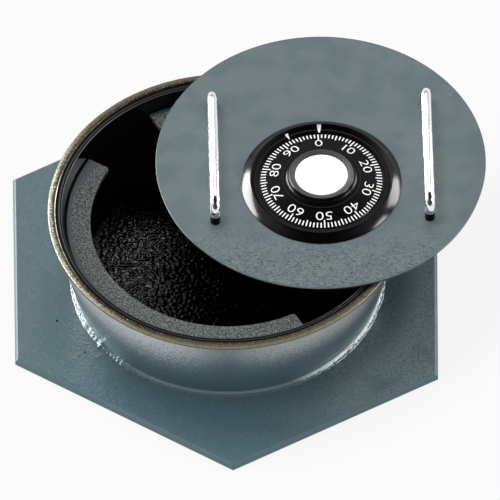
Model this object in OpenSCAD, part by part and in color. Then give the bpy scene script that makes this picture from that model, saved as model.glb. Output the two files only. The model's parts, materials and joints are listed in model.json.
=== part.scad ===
// Floor safe: a tapered steel bowl welded on a hexagonal plate, with a lift-out round lid.
// The lid carries a three-wheel combination lock, and lies across the open rim.
// Millimetres. The origin is on the floor under the bowl's axis, and +Z is up.

/* [Bowl] */
// Height of the rim above the floor
body_h = 66.5; // [55:0.5:90]
// Outer diameter of the bare rim ring
rim_d = 219.2; // [216.4:0.2:230]
// Outer diameter of the wall, carried up to the rim
wall_top_d = 215.6; // [212:0.2:216]
// Outer diameter of the wall where it meets the plate
wall_foot_d = 187.2; // [182:0.2:200]
// Thickness of the wall
wall_t = 6.4; // [5:0.1:7]
// Thickness of the rim ring
ring_t = 1.6; // [1.3:0.1:3]
// Width of the bare land on the rim ring
land_w = 4.8; // [3.5:0.1:6]
// Depth of the painted step inside the land
step_depth = 0.8; // [0.3:0.1:1]
// Width of the weld bead on the plate
weld_w = 3.7; // [2:0.1:6]
// Height of the weld bead on the wall
weld_h = 3.2; // [2:0.1:6]

/* [Base plate] */
// Distance across the two side flats, at the front
plate_flats = 257.6; // [235:0.1:300]
// Distance from the front point to the rear point
plate_points = 302; // [280:1:340]
// Length of each side flat
plate_side = 146.5; // [130:0.5:165]
// How far the side flats are out of true, front to back
plate_skew = 5.9; // [-8:0.1:8]
// How far the points are out of true, side to side
plate_tip_shift = 4; // [-8:0.5:8]
// How far the rear left corner stands out of true
plate_lean = 2.4; // [0:0.1:5]
// How far the plate is off the bowl's axis, to the left
plate_offset = 0.5; // [0:0.1:2]
// Thickness of the plate
plate_t = 4.5; // [3:0.1:8]
// Bevel along the plate's edges
plate_bevel = 1.6; // [0.4:0.1:2]

/* [Locking ledges] */
// Depth of the ledges' top below the rim
ledge_drop = 10.5; // [9:0.1:14]
// Thickness of a ledge
ledge_t = 3; // [2:0.1:5]
// Diameter of the opening between the ledges
ledge_bore_d = 167.2; // [167:0.2:176]
// Angle that each ledge spans
ledge_span = 149.6; // [140:0.2:152]
// Angle at which the front ledge starts
ledge_start = 149.6; // [140:0.2:160]
// Radius of a ledge's inner corners
ledge_corner = 2; // [1:0.1:5]

/* [Lid] */
// Depth of the closed lid's top face below the rim
lid_drop = 2.6; // [1.5:0.1:3]
// Thickness of the lid
lid_t = 3; // [2.6:0.1:5]
// Place of the lid on the rim, to the right of the bowl's axis
lid_x = 56.9; // [54:0.1:58]
// Place of the lid on the rim, behind the bowl's axis
lid_y = 35.9; // [33:0.1:37]
// Turn of the lid about its own axis
lid_yaw = 1.3; // [-3:0.1:3]
// Gap between the lid and the rim that it lies on
lid_gap = 0.3; // [0.2:0.05:0.5]
// Angle that each locking lug spans
lug_span = 20; // [14:1:26]
// Thickness of a lug's web and foot
lug_t = 5; // [3:0.1:7]
// Running gap between a lug and the ledge that it turns under
lug_gap = 0.6; // [0.3:0.1:1.5]
// Reach of a lug's foot under the ledge
lug_reach = 9; // [6:0.5:11]

/* [Lift handles] */
// Diameter of the handle rod
rod_d = 6.4; // [5.6:0.1:8]
// Distance between the two handles
handle_pitch = 130.6; // [126:0.2:136]
// Distance between the two legs of a handle
handle_reach = 92; // [80:1:100]
// Height of the rod's centre line above the lid
handle_rise = 13.5; // [12:0.1:20]
// Bend radius of the rod's centre line
handle_bend = 7; // [5:0.1:9]
// Diameter of the screws that hold the handles
handle_screw_d = 4; // [3:0.1:4.4]

/* [Dial] */
// Place of the dial's axis in front of the lid's centre
dial_offset = 16.9; // [16:0.1:17.5]
// Outer diameter of the dial ring
dial_ring_d = 97.6; // [95:0.2:98.4]
// Inner diameter of the dial ring
dial_ring_bore_d = 76.6; // [74:0.2:78]
// Width of the bevel that slopes from the ring's inner lip down to the dial
ring_bevel_w = 1.9; // [1:0.1:2.4]
// Height of the dial ring's crest above the lid
dial_ring_h = 4.6; // [3.5:0.1:6]
// Height of the dial ring's inner lip above the lid
dial_lip_h = 2; // [1.9:0.1:2.6]
// Running gap around and below the dial
dial_gap = 0.5; // [0.3:0.05:0.8]
// Height of the dial's edge above the lid
dial_face_h = 1.6; // [1.3:0.1:1.8]
// Rise of the dial's cone from its edge to the knob
dial_cone_h = 2.5; // [1:0.1:3]
// Diameter of the knob's flared foot
knob_foot_d = 48.2; // [46:0.2:52]
// Diameter of the knob's top
knob_top_d = 40; // [38:0.2:43]
// Height of the knob's top above the lid
knob_h = 8.4; // [8:0.1:14]
// Depth of the dish in the knob's top, down to the disc
knob_dish = 0.8; // [0.3:0.1:1]
// Diameter of the blank disc in the knob
disc_d = 32.2; // [28:0.2:36]
// Thickness of the blank disc
disc_t = 1.2; // [0.8:0.1:2]

/* [Lock] */
// Diameter of the spindle
spindle_d = 7.8; // [7:0.1:8]
// Wall of the post that the wheels turn on
post_wall = 1.9; // [1.5:0.1:2.2]
// Diameter of a combination wheel
wheel_d = 34; // [32:0.5:34.5]
// Thickness of a combination wheel
wheel_t = 2.4; // [1.8:0.1:2.6]
// Thickness of a washer between the wheels
washer_t = 0.8; // [0.7:0.1:1]
// Diameter of a washer
washer_d = 17; // [15:0.5:18]
// Width of the gate cut in a wheel
gate_w = 5; // [4:0.1:6]
// Depth of the gate cut in a wheel
gate_depth = 4; // [3:0.1:4.5]
// Diameter of the drive cam
cam_d = 26; // [25.6:0.1:26.4]
// Thickness of the drive cam
cam_t = 3.5; // [3:0.1:4]
// Room between the wheels and the case's round wall
wheel_room = 1.5; // [1:0.1:1.6]
// Depth of the lock case with its cover
case_h = 25; // [24.5:0.1:28]
// Wall of the lock case
case_wall = 2.5; // [2:0.1:2.6]
// Thickness of the cover
cover_t = 2; // [1.5:0.1:2.5]
// Width of the lock bolt
bolt_w = 24; // [20:0.5:24]
// Thickness of the lock bolt
bolt_t = 6.7; // [6:0.1:7]
// Distance from the lid's axis to the drawn-back bolt's tip
bolt_tip = 80; // [78:0.1:80.4]
// Travel of the lock bolt
bolt_throw = 10; // [7:0.1:10]
// Running gap of the sliding lock pieces
run_gap = 0.3; // [0.2:0.05:0.35]
// Running gap of the lock's shafts in their bores
shaft_gap = 0.1; // [0.05:0.01:0.1]
// Thickness of the lever
lever_t = 3; // [2:0.1:3]
// Diameter of the lever spring's wire
spring_wire = 0.7; // [0.5:0.05:0.9]

/* [Hidden] */
$fn = 96;

// Overlap that lets a cut run clean through
over = 1;
// Gap between two pieces of one body that are pushed together
seat_gap = 0.05;

// Bowl
rim_r = rim_d / 2;
wall_slope = (wall_top_d - wall_foot_d) / 2 / (body_h - plate_t);
function wall_r(z) = wall_foot_d / 2 + wall_slope * (z - plate_t);
function bore_r(z) = wall_r(z) - wall_t;
ring_z = body_h - ring_t;
land_r = rim_r - land_w;
// The line scored round the painted step
score_r = (bore_r(body_h) + land_r) / 2;
score_w = 0.5;
score_depth = 0.3;
// The line turned round the bare land: steep outside, shallow inside
rim_edge = 0.5;
line_out = 1;
line_floor = 1.4;
line_in = 2.5;
line_depth = 0.25;

// Slope of the plate's front and rear sides, side to side
plate_point_slope = 0.6;

// Ledges
ledge_top = body_h - ledge_drop;
ledge_bottom = ledge_top - ledge_t;
ledge_r = ledge_bore_d / 2;
// Bevel along a ledge's outer top edge, which leaves a groove beside the wall
ledge_groove_w = 1.2;
ledge_groove_h = 1.5;

// Lid
closed_top = body_h - lid_drop;
lid_r = bore_r(closed_top);
lid_edge_r = bore_r(closed_top - lid_t);
lid_bevel = 0.4;
lid_z = body_h + lid_gap;

// Lugs, with the foot just under the ledges when the lid is closed
lug_neck = closed_top - lid_t - ledge_bottom + lug_gap;
lug_run = 1.6;
lug_bevel = 1;
web_r = ledge_r - lug_run;
foot_r = ledge_r + lug_reach;

// Handles
rod_r = rod_d / 2;
screw_clear = 0.25;
handle_thread = 8;
thread_room = 0.5;
head_ratio = 1.9;
head_h_ratio = 0.55;
handle_washer_t = 1;
handle_washer_d = 10;

// Dial
dial_ring_r = dial_ring_d / 2;
ring_bore_r = dial_ring_bore_d / 2;
dial_r = ring_bore_r - dial_gap;
ring_lip_r = ring_bore_r + ring_bevel_w;
ring_edge_h = 0.6;
ring_lip_w = 1.2;
lip_groove = 0.4;
crest_lean = 1.8;
crest_r = ring_lip_r + ring_lip_w + crest_lean;
crest_bevel = 0.3;
flank_bow = 15;
ring_screw_d = 3;
ring_screw_r = (dial_ring_r + ring_lip_r) / 2;
ring_screw_depth = 1.8;
tip_room = 0.2;
ring_screw_angles = [90, 210, 330];
knob_edge_h = 0.5;
knob_foot_h = dial_face_h + dial_cone_h + knob_edge_h;
knob_waist_out = 0.3;
knob_waist_r = knob_top_d / 2 + knob_waist_out;
knob_flare_h = 2;
knob_waist_h = knob_foot_h + knob_flare_h;
knob_bevel_w = 0.5;
dial_bevel = 0.3;
disc_top = knob_h - knob_dish;
disc_line_w = 0.4;
disc_line_depth = 0.5;
spindle_in_dial = 4;

// Lock, measured down from the lid's underside
spindle_r = spindle_d / 2;
post_bore_r = spindle_r + shaft_gap;
post_r = post_bore_r + post_wall;
spindle_hole_r = post_r + seat_gap;
floor_t = case_wall;
wheel_r = wheel_d / 2;
half_case = wheel_r + wheel_room + case_wall;
lever_room = 2;
case_inner_r = half_case - case_wall;
wheel_gap = 0.1;
wheel_pitch = wheel_t + washer_t + 2 * wheel_gap;
stack_top = floor_t + wheel_gap;
function washer_depth(i) = stack_top + i * wheel_pitch;
function wheel_depth(i) = washer_depth(i) + washer_t + wheel_gap;
clip_depth = washer_depth(3) + washer_t + wheel_gap;
clip_t = 1;
clip_groove = 0.6;
clip_d = 15.5;
post_tail = 0.8;
post_end = clip_depth + clip_t + post_tail;
cam_room = 1.2;
cam_depth = post_end + cam_room;
cam_r = cam_d / 2;
cam_notch_w = 6;
cam_notch_depth = 3.2;
spindle_tail = 1.2;
spindle_end = cam_depth + cam_t + spindle_tail;
key_w = 2;
key_out = 1.6;
key_in = 1.2;

// Drive pins stand on the wheels and the cam, and the flies beside them take the push
pin_r = 1;
pin_orbit = 11;
pin_side_gap = 0.05;
fly_w = 2.2;
fly_l = 3;
pin_h = washer_t;
fly_h = washer_t;
cam_fly_h = clip_depth + clip_t - wheel_depth(2) - wheel_t;
pin_end_gap = 0.3;
cam_pin_end = wheel_depth(2) + wheel_t + pin_end_gap;

// Length of the case, with room for the lever when the bolt is thrown
pivot_x = 4;
pivot_y = -28;
lever_arm_w = 6;
case_l = bolt_throw - pivot_y + lever_arm_w / 2 + lever_room + case_wall;

// Bolt and its channel in the case
bolt_top = floor_t + run_gap;
bolt_bottom = bolt_top + bolt_t;
bolt_back = -22.5;
bolt_front = -(bolt_tip - dial_offset);
bolt_nose = 1.2;
rail_w = 2.5;
rail_lip = 2.2;
rail_lip_t = 2.2;
rail_start = -24.5;
lip_depth = bolt_bottom + run_gap;

// Lever on the bolt, with the fence over the wheels and the nose beside the cam
boss_r = 3.2;
lever_depth = cam_depth;
pivot_pin_r = 1.8;
pivot_head_r = 3.4;
pivot_head_t = 1.4;
pivot_blind = bolt_top + 2;
fence_x = -6;
fence_w = 4;
fence_t = 2.6;
eye_out = 0.6;
fence_clear = 0.7;
nose_clear = 0.9;
spring_turns = 3.5;
spring_steps = 16;
spring_sides = 6;
spring_leg = 9;
spring_rise = 2.3;
spring_clear = 0.5;
spring_r = boss_r + spring_clear + spring_wire / 2;

// Fixings of the case
ear_r = 5;
ear_t = 3;
ear_screw_d = 5;
ear_x = half_case + ear_r;
ear_rear_y = -12;
ear_front_y = -36;
ears = [[-ear_x, ear_rear_y], [ear_x, ear_rear_y], [-ear_x, ear_front_y], [ear_x, ear_front_y]];
cover_screw_d = 3;
pillar_r = 3.4;
pillar_gap = 0.2;
pillar_out = 1;
pillar_x = bolt_w / 2 + run_gap + pillar_gap + pillar_r;
pillar_y = case_l - case_wall - pillar_r;
pillars = [[-pillar_x, -pillar_y], [pillar_x, -pillar_y], [0, half_case + pillar_out]];
cover_thread = 9;
case_corner = 4;

// A ring between two radii, from z up by h
module tube(outer, inner, h) {
    difference() {
        cylinder(r = outer, h = h);
        translate([0, 0, -over]) cylinder(r = inner, h = h + 2 * over);
    }
}

// Children placed on the lid: z = 0 is the lid's underside
module on_lid() {
    translate([lid_x, lid_y, lid_z]) rotate([0, 0, lid_yaw]) children();
}

// Children placed on the lock's axis: z = 0 is the lid's underside
module on_lock() {
    on_lid() translate([0, -dial_offset, 0]) children();
}

// Children placed below the lid's underside by depth
module down(depth) {
    translate([0, 0, -depth]) children();
}

// A pan head screw that points up, with its head's top face at z = 0
module pan_screw(d, length) {
    head_r = d * head_ratio / 2;
    head_h = d * head_h_ratio;
    socket_r = d * 0.35;
    cylinder(r = d / 2, h = length);
    difference() {
        down(head_h) cylinder(r1 = head_r * 0.8, r2 = head_r, h = head_h);
        down(head_h + over) cylinder(r = socket_r, h = head_h * 0.6 + over, $fn = 6);
    }
}

// Outline of the hexagonal plate, shrunk by inset
module plate_outline(inset) {
    x = plate_flats / 2 - inset;
    right = [plate_side / 2 + plate_skew, plate_side / 2 - plate_skew];
    tip = plate_points / 2 - inset;
    trim = inset * plate_point_slope;
    translate([-plate_offset, 0]) polygon([
        [plate_tip_shift, -tip], [x, -right[0] + trim], [x, right[1] - trim],
        [-plate_tip_shift, tip], [-x - plate_lean, right[0] - trim - plate_lean * plate_point_slope],
        [-x, -right[1] + trim]
    ]);
}

module base_plate() {
    color("#64797c") hull() {
        linear_extrude(plate_t - plate_bevel) plate_outline(0);
        linear_extrude(plate_t) plate_outline(plate_bevel);
    }
}

module body_shell() {
    color("#76898c") rotate_extrude($fn = 180) polygon([
        [bore_r(plate_t), plate_t], [wall_r(plate_t), plate_t],
        [wall_r(ring_z), ring_z], [bore_r(ring_z), ring_z]
    ]);
}

// The ring that trims the top of the bowl: a bare land with a turned line, and a painted step inside it
module rim_ring() {
    step_z = body_h - step_depth;
    color("#a39a78") rotate_extrude($fn = 180) polygon([
        [bore_r(ring_z), ring_z], [rim_r, ring_z], [rim_r, body_h - rim_edge],
        [rim_r - rim_edge, body_h], [rim_r - line_out, body_h],
        [rim_r - line_floor, body_h - line_depth], [rim_r - line_in, body_h],
        [land_r + rim_edge, body_h], [land_r, body_h - rim_edge],
        [land_r, step_z], [score_r + score_w, step_z],
        [score_r, step_z - score_depth], [score_r - score_w, step_z], [bore_r(step_z), step_z]
    ]);
}

// A fillet weld with a rounded face round the foot of the bowl
module base_weld() {
    toe = wall_r(plate_t);
    bulge = 0.35;
    half_turn = 180;
    steps = 8;
    face = [for (i = [0:steps]) let (t = i / steps, rise = sin(half_turn * t) * bulge)
        [toe + weld_w * (1 - t) + wall_slope * weld_h * t + rise, plate_t + weld_h * t + rise]];
    color("#64797c") rotate_extrude($fn = 180) polygon(concat([[toe, plate_t]], face));
}

// What is cut off a ledge's inner corner, at angle a, with the ledge on the side of turn
module ledge_corner_cut(a, turn) {
    rotate([0, 0, a]) translate([ledge_r, 0, ledge_bottom - over])
        difference() {
            translate([-over, turn > 0 ? -over : -ledge_corner, 0])
                cube([ledge_corner + over, ledge_corner + over, ledge_t + 2 * over]);
            translate([ledge_corner, turn * ledge_corner, -over])
                cylinder(r = ledge_corner, h = ledge_t + 4 * over, $fn = 48);
        }
}

// A ledge is a bent bar under which the lid's lugs turn
module ledge(start) {
    difference() {
        rotate([0, 0, start]) rotate_extrude(angle = ledge_span, $fn = 180) polygon([
            [ledge_r, ledge_bottom], [bore_r(ledge_bottom), ledge_bottom],
            [bore_r(ledge_top - ledge_groove_h), ledge_top - ledge_groove_h],
            [bore_r(ledge_top) - ledge_groove_w, ledge_top], [ledge_r, ledge_top]
        ]);
        ledge_corner_cut(start, 1);
        ledge_corner_cut(start + ledge_span, -1);
    }
}

module front_ledge() {
    color("#4c5252") ledge(ledge_start);
}

module rear_ledge() {
    color("#4c5252") ledge(ledge_start + 180);
}

// Places of the handle legs on the lid
module at_handle_legs() {
    for (side = [-1, 1], end = [-1, 1])
        translate([side * handle_pitch / 2, end * handle_reach / 2, 0]) children();
}

module lid_plate() {
    color("#717d7d") on_lid() difference() {
        rotate_extrude($fn = 240) polygon([
            [0, 0], [lid_edge_r, 0], [lid_r, lid_t - lid_bevel], [lid_r - lid_bevel, lid_t], [0, lid_t]
        ]);
        translate([0, -dial_offset, -over]) {
            cylinder(r = spindle_hole_r, h = lid_t + 2 * over);
            for (a = ring_screw_angles) rotate([0, 0, a]) translate([ring_screw_r, 0, 0])
                cylinder(d = ring_screw_d + 2 * screw_clear, h = lid_t + 2 * over);
            for (p = ears) translate(p)
                cylinder(d = ear_screw_d + 2 * seat_gap, h = lid_t + 2 * over);
        }
        translate([0, 0, -over]) at_handle_legs()
            cylinder(d = handle_screw_d + 2 * screw_clear, h = lid_t + 2 * over);
    }
}

// A curved lug welded under the lid, centred on angle a of the lid
module lug(a) {
    color("#5d6a6b") on_lid() rotate([0, 0, a - lug_span / 2])
        rotate_extrude(angle = lug_span, $fn = 180) polygon([
            [web_r - lug_t, 0], [web_r - lug_t, -lug_neck - lug_t], [foot_r - lug_bevel, -lug_neck - lug_t],
            [foot_r, -lug_neck - lug_t + lug_bevel], [foot_r, -lug_neck], [web_r, -lug_neck], [web_r, 0]
        ]);
}

module left_lug() {
    lug(180);
}

module right_lug() {
    lug(0);
}

// A bent rod: two legs, two bends and the grip, tapped from below in both legs
module handle(side) {
    half = handle_reach / 2;
    color("#d8dcde") on_lid() translate([side * handle_pitch / 2, 0, lid_t]) difference() {
        union() {
            for (end = [-1, 1]) {
                translate([0, end * half, 0]) cylinder(r = rod_r, h = handle_rise - handle_bend, $fn = 48);
                translate([0, end * (half - handle_bend), handle_rise - handle_bend])
                    rotate([90, 0, 90]) rotate([0, 0, end > 0 ? 0 : 90])
                        rotate_extrude(angle = 90, $fn = 64)
                            translate([handle_bend, 0]) circle(r = rod_r, $fn = 48);
            }
            translate([0, half - handle_bend, handle_rise]) rotate([90, 0, 0])
                cylinder(r = rod_r, h = 2 * (half - handle_bend), $fn = 48);
        }
        for (end = [-1, 1]) translate([0, end * half, -over])
            cylinder(d = handle_screw_d + 2 * seat_gap, h = handle_thread + over, $fn = 32);
    }
}

module left_handle() {
    handle(-1);
}

module right_handle() {
    handle(1);
}

module handle_washers() {
    color("#b9bcbc") on_lid() down(handle_washer_t) at_handle_legs()
        tube(handle_washer_d / 2, handle_screw_d / 2 + screw_clear, handle_washer_t, $fn = 48);
}

module handle_screws() {
    length = handle_washer_t + lid_t + handle_thread - thread_room;
    color("#8f9494") on_lid() down(handle_washer_t) at_handle_legs()
        pan_screw(handle_screw_d, length, $fn = 48);
}

// The fixed ring round the dial: a bowed outer flank up to the crest, a steep inner wall, a thin lip and
// a bevel down to the dial
module dial_ring() {
    inner = ring_lip_r + ring_lip_w;
    steps = 10;
    rise = dial_ring_h - ring_edge_h;
    run = dial_ring_r - crest_r;
    tilt = atan2(rise, run);
    bow_r = norm([rise, run]) / 2 / sin(flank_bow);
    bow_x = crest_r - bow_r * sin(tilt - flank_bow);
    bow_z = dial_ring_h - bow_r * cos(tilt - flank_bow);
    flank = [for (i = [steps:-1:0]) let (a = tilt - flank_bow + 2 * flank_bow * i / steps)
        [bow_x + bow_r * sin(a), bow_z + bow_r * cos(a)]];
    color("#17181a") on_lock() translate([0, 0, lid_t]) difference() {
        rotate_extrude($fn = 180) polygon(concat(
            [[ring_bore_r, 0], [dial_ring_r, 0]], flank,
            [[crest_r - crest_bevel, dial_ring_h - crest_bevel], [inner, dial_lip_h - lip_groove],
             [inner, dial_lip_h], [ring_lip_r, dial_lip_h], [ring_bore_r, dial_face_h]]
        ));
        for (a = ring_screw_angles) rotate([0, 0, a]) translate([ring_screw_r, 0, -over])
            cylinder(d = ring_screw_d + 2 * seat_gap, h = ring_screw_depth + over, $fn = 32);
    }
}

module dial_ring_screws() {
    color("#8f9494") on_lock() for (a = ring_screw_angles)
        rotate([0, 0, a]) translate([ring_screw_r, 0, 0])
            pan_screw(ring_screw_d, lid_t + ring_screw_depth - tip_room, $fn = 32);
}

// Outline of the lock case: a round end about the spindle and a straight end for the bolt
module case_outline(half, end, corner) {
    circle(r = half);
    translate([-half, -end + corner]) square([2 * half, end - corner]);
    translate([-half + corner, -end]) square([2 * (half - corner), end]);
    for (s = [-1, 1]) translate([s * (half - corner), -end + corner]) circle(r = corner, $fn = 32);
}

// The case: a floor on the lid, walls, ears, screw pillars and the bolt's channel
module lock_case() {
    wall_end = case_h - cover_t;
    inner_end = case_l - case_wall;
    rail_x = bolt_w / 2 + run_gap;
    color("#a8a294") on_lock() difference() {
        union() {
            down(wall_end) linear_extrude(wall_end) difference() {
                case_outline(half_case, case_l, case_corner);
                case_outline(case_inner_r, inner_end, case_corner - case_wall / 2);
            }
            down(floor_t) linear_extrude(floor_t) case_outline(half_case, case_l, case_corner);
            for (p = ears) translate(p) down(ear_t) {
                cylinder(r = ear_r, h = ear_t, $fn = 32);
                translate([p[0] > 0 ? -ear_r : 0, -ear_r, 0]) cube([ear_r, 2 * ear_r, ear_t]);
            }
            for (p = pillars) translate(p) down(wall_end) cylinder(r = pillar_r, h = wall_end, $fn = 32);
            for (s = [-1, 1]) {
                down(lip_depth + rail_lip_t) translate([s > 0 ? rail_x : -rail_x - rail_w, -inner_end, 0])
                    cube([rail_w, inner_end + rail_start, lip_depth + rail_lip_t]);
                down(lip_depth + rail_lip_t)
                    translate([s > 0 ? rail_x - rail_lip : -rail_x, -inner_end, 0])
                    cube([rail_lip, inner_end + rail_start, rail_lip_t]);
            }
        }
        down(floor_t + over) cylinder(r = post_r + seat_gap, h = floor_t + 2 * over);
        down(bolt_bottom + run_gap) translate([-rail_x, -case_l - over, 0])
            cube([2 * rail_x, case_wall + 2 * over, bolt_t + 2 * run_gap]);
        for (p = ears) translate(p) down(ear_t + over)
            cylinder(d = ear_screw_d + 2 * screw_clear, h = ear_t + 2 * over, $fn = 32);
        for (p = pillars) translate(p) down(wall_end + over)
            cylinder(d = cover_screw_d + 2 * seat_gap, h = cover_thread + over, $fn = 32);
    }
}

// The tube that the wheels turn on, pressed into the case floor and the lid
module wheel_post() {
    color("#b08d4f") on_lock() difference() {
        down(post_end) tube(post_r, post_bore_r, post_end + lid_t);
        down(clip_depth + clip_t + wheel_gap)
            tube(post_r + over, post_r - clip_groove, clip_t + 2 * wheel_gap);
    }
}

module lock_mounting_screws() {
    color("#8f9494") on_lock() for (p = ears) translate(p) down(ear_t)
        pan_screw(ear_screw_d, ear_t + lid_t - tip_room, $fn = 32);
}

module lock_cover() {
    color("#b7b1a2") on_lock() difference() {
        down(case_h) linear_extrude(cover_t) {
            case_outline(half_case, case_l, case_corner);
            for (p = pillars) translate(p) circle(r = pillar_r, $fn = 32);
        }
        for (p = pillars) translate(p) down(case_h + over)
            cylinder(d = cover_screw_d + 2 * screw_clear, h = cover_t + 2 * over, $fn = 32);
    }
}

module cover_screws() {
    color("#8f9494") on_lock() for (p = pillars) translate(p) down(case_h)
        pan_screw(cover_screw_d, cover_t + cover_thread - thread_room, $fn = 32);
}

module wheel_washers() {
    color("#c9b27a") on_lock() for (i = [0:3]) down(washer_depth(i) + washer_t)
        tube(washer_d / 2, post_r + wheel_gap, washer_t);
}

// An open ring snapped in the groove at the end of the post
module retaining_ring() {
    slot_w = 4;
    color("#7f8486") on_lock() down(clip_depth + clip_t) difference() {
        tube(clip_d / 2, post_r - clip_groove + seat_gap, clip_t);
        translate([-slot_w / 2, 0, -over]) cube([slot_w, clip_d, clip_t + 2 * over]);
    }
}

// The dial: a shallow marked cone and a flared knob, with a dished top and a seat for the blank disc
module dial() {
    seat_r = disc_d / 2 + seat_gap;
    top_r = knob_top_d / 2;
    steps = 6;
    flare = [for (i = [0:steps]) let (a = 90 * i / steps)
        [knob_foot_d / 2 - (knob_foot_d / 2 - knob_waist_r) * sin(a),
         knob_waist_h - (knob_waist_h - knob_foot_h) * cos(a)]];
    color("#141517") on_lock() translate([0, 0, lid_t]) difference() {
        rotate_extrude($fn = 180) polygon(concat(
            [[0, dial_gap], [dial_r, dial_gap], [dial_r, dial_face_h - dial_bevel],
             [dial_r - dial_bevel, dial_face_h], [knob_foot_d / 2, dial_face_h + dial_cone_h]],
            flare,
            [[top_r, knob_h - knob_bevel_w], [top_r - knob_bevel_w, knob_h],
             [seat_r + disc_line_w, disc_top], [seat_r + disc_line_w, disc_top - disc_line_depth],
             [seat_r, disc_top - disc_line_depth], [seat_r, disc_top - disc_t], [0, disc_top - disc_t]]
        ));
        translate([0, 0, -over])
            cylinder(r = spindle_r + seat_gap, h = over + dial_gap + spindle_in_dial + seat_gap);
    }
}

// The bare white disc let into the knob
module knob_disc() {
    color("#f4f4f2") on_lock() translate([0, 0, lid_t + disc_top - disc_t])
        cylinder(d = disc_d, h = disc_t);
}

module spindle() {
    color("#b08d4f") on_lock() difference() {
        down(spindle_end) cylinder(r = spindle_r, h = spindle_end + lid_t + dial_gap + spindle_in_dial);
        down(spindle_end + over) translate([-key_w / 2, spindle_r - key_in, 0])
            cube([key_w, key_in + over, spindle_end - cam_depth + over]);
    }
}

// A push pin, and the fly beside it, at the wheels' common orbit
module drive_pin(h) {
    translate([0, pin_orbit, 0]) cylinder(r = pin_r, h = h, $fn = 32);
}

module fly(h) {
    translate([pin_r + pin_side_gap, pin_orbit - fly_l / 2, 0]) cube([fly_w, fly_l, h]);
}

// The cam on the spindle's end, with the notch that takes the lever's nose
module drive_cam() {
    color("#b08d4f") on_lock() {
        down(cam_depth + cam_t) difference() {
            cylinder(r = cam_r, h = cam_t);
            translate([0, 0, -over]) cylinder(r = spindle_r + seat_gap, h = cam_t + 2 * over);
            translate([-key_w / 2 - seat_gap, 0, -over])
                cube([key_w + 2 * seat_gap, spindle_r + key_out, cam_t + 2 * over]);
            rotate([0, 0, 40]) translate([cam_r - cam_notch_depth, -cam_notch_w / 2, -over])
                cube([cam_notch_depth + over, cam_notch_w, cam_t + 2 * over]);
        }
        down(cam_depth) rotate([0, 0, 180]) drive_pin(cam_depth - cam_pin_end);
    }
}

module spline_key() {
    color("#8f9494") on_lock() down(cam_depth + cam_t)
        translate([-key_w / 2 + seat_gap, spindle_r - key_in + seat_gap, 0])
        cube([key_w - 2 * seat_gap, key_in + key_out - 2 * seat_gap, cam_t]);
}

// A combination wheel with its gate, its change hole, a push pin above and a fly below
module wheel(i, gate_angle) {
    hole_r = 2;
    hole_orbit = 12.5;
    turn = i % 2 == 0 ? 0 : 180;
    color("#c9a85c") on_lock() {
        down(wheel_depth(i) + wheel_t) difference() {
            cylinder(r = wheel_r, h = wheel_t);
            translate([0, 0, -over]) cylinder(r = post_r + shaft_gap, h = wheel_t + 2 * over);
            rotate([0, 0, gate_angle]) translate([wheel_r - gate_depth, -gate_w / 2, -over])
                cube([gate_depth + over, gate_w, wheel_t + 2 * over]);
            translate([hole_orbit, 0, -over]) cylinder(r = hole_r, h = wheel_t + 2 * over, $fn = 32);
        }
        if (i > 0) down(wheel_depth(i)) rotate([0, 0, turn]) drive_pin(pin_h);
        if (i < 2) down(wheel_depth(i) + wheel_t + fly_h) rotate([0, 0, 180 - turn]) fly(fly_h);
        else down(wheel_depth(i) + wheel_t + cam_fly_h) rotate([0, 0, 180]) fly(cam_fly_h);
    }
}

module wheel_1() {
    wheel(0, 75);
}

module wheel_2() {
    wheel(1, 200);
}

module wheel_3() {
    wheel(2, 320);
}

// The lock bolt: a flat bar with a bevelled nose and the boss that carries the lever
module lock_bolt() {
    color("#c2a063") on_lock() difference() {
        union() {
            down(bolt_bottom) linear_extrude(bolt_t) polygon([
                [-bolt_w / 2, bolt_back], [-bolt_w / 2, bolt_front + bolt_nose],
                [-bolt_w / 2 + bolt_nose, bolt_front], [bolt_w / 2 - bolt_nose, bolt_front],
                [bolt_w / 2, bolt_front + bolt_nose], [bolt_w / 2, bolt_back]
            ]);
            translate([pivot_x, pivot_y, 0]) down(lever_depth - run_gap)
                cylinder(r = boss_r, h = lever_depth - run_gap - bolt_bottom, $fn = 48);
        }
        translate([pivot_x, pivot_y, 0]) down(lever_depth + over)
            cylinder(r = pivot_pin_r + seat_gap, h = lever_depth + over - pivot_blind, $fn = 32);
    }
}

module lever_screw() {
    head_depth = lever_depth + lever_t + run_gap;
    color("#8f9494") on_lock() translate([pivot_x, pivot_y, 0]) {
        down(head_depth) cylinder(r = pivot_pin_r, h = head_depth - pivot_blind - thread_room, $fn = 32);
        down(head_depth + pivot_head_t) cylinder(r = pivot_head_r, h = pivot_head_t, $fn = 32);
    }
}

// Centre line of the spring: turns round the boss, then a straight leg towards the fence
spring_room = 1;
spring_low = bolt_bottom + spring_room;
spring_high = lever_depth - run_gap - spring_wire;
function spring_point(i, n) = let (a = 90 + 360 * spring_turns * (1 - i / n))
    [spring_r * cos(a), spring_r * sin(a), -spring_low - (spring_high - spring_low) * i / n];
spring_n = spring_turns * spring_steps;
spring_path = concat(
    [for (i = [0:spring_n]) spring_point(i, spring_n)],
    [for (k = [1:3]) [-spring_leg * k / 3, spring_r + spring_rise * k / 3, -spring_high]]
);

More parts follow.
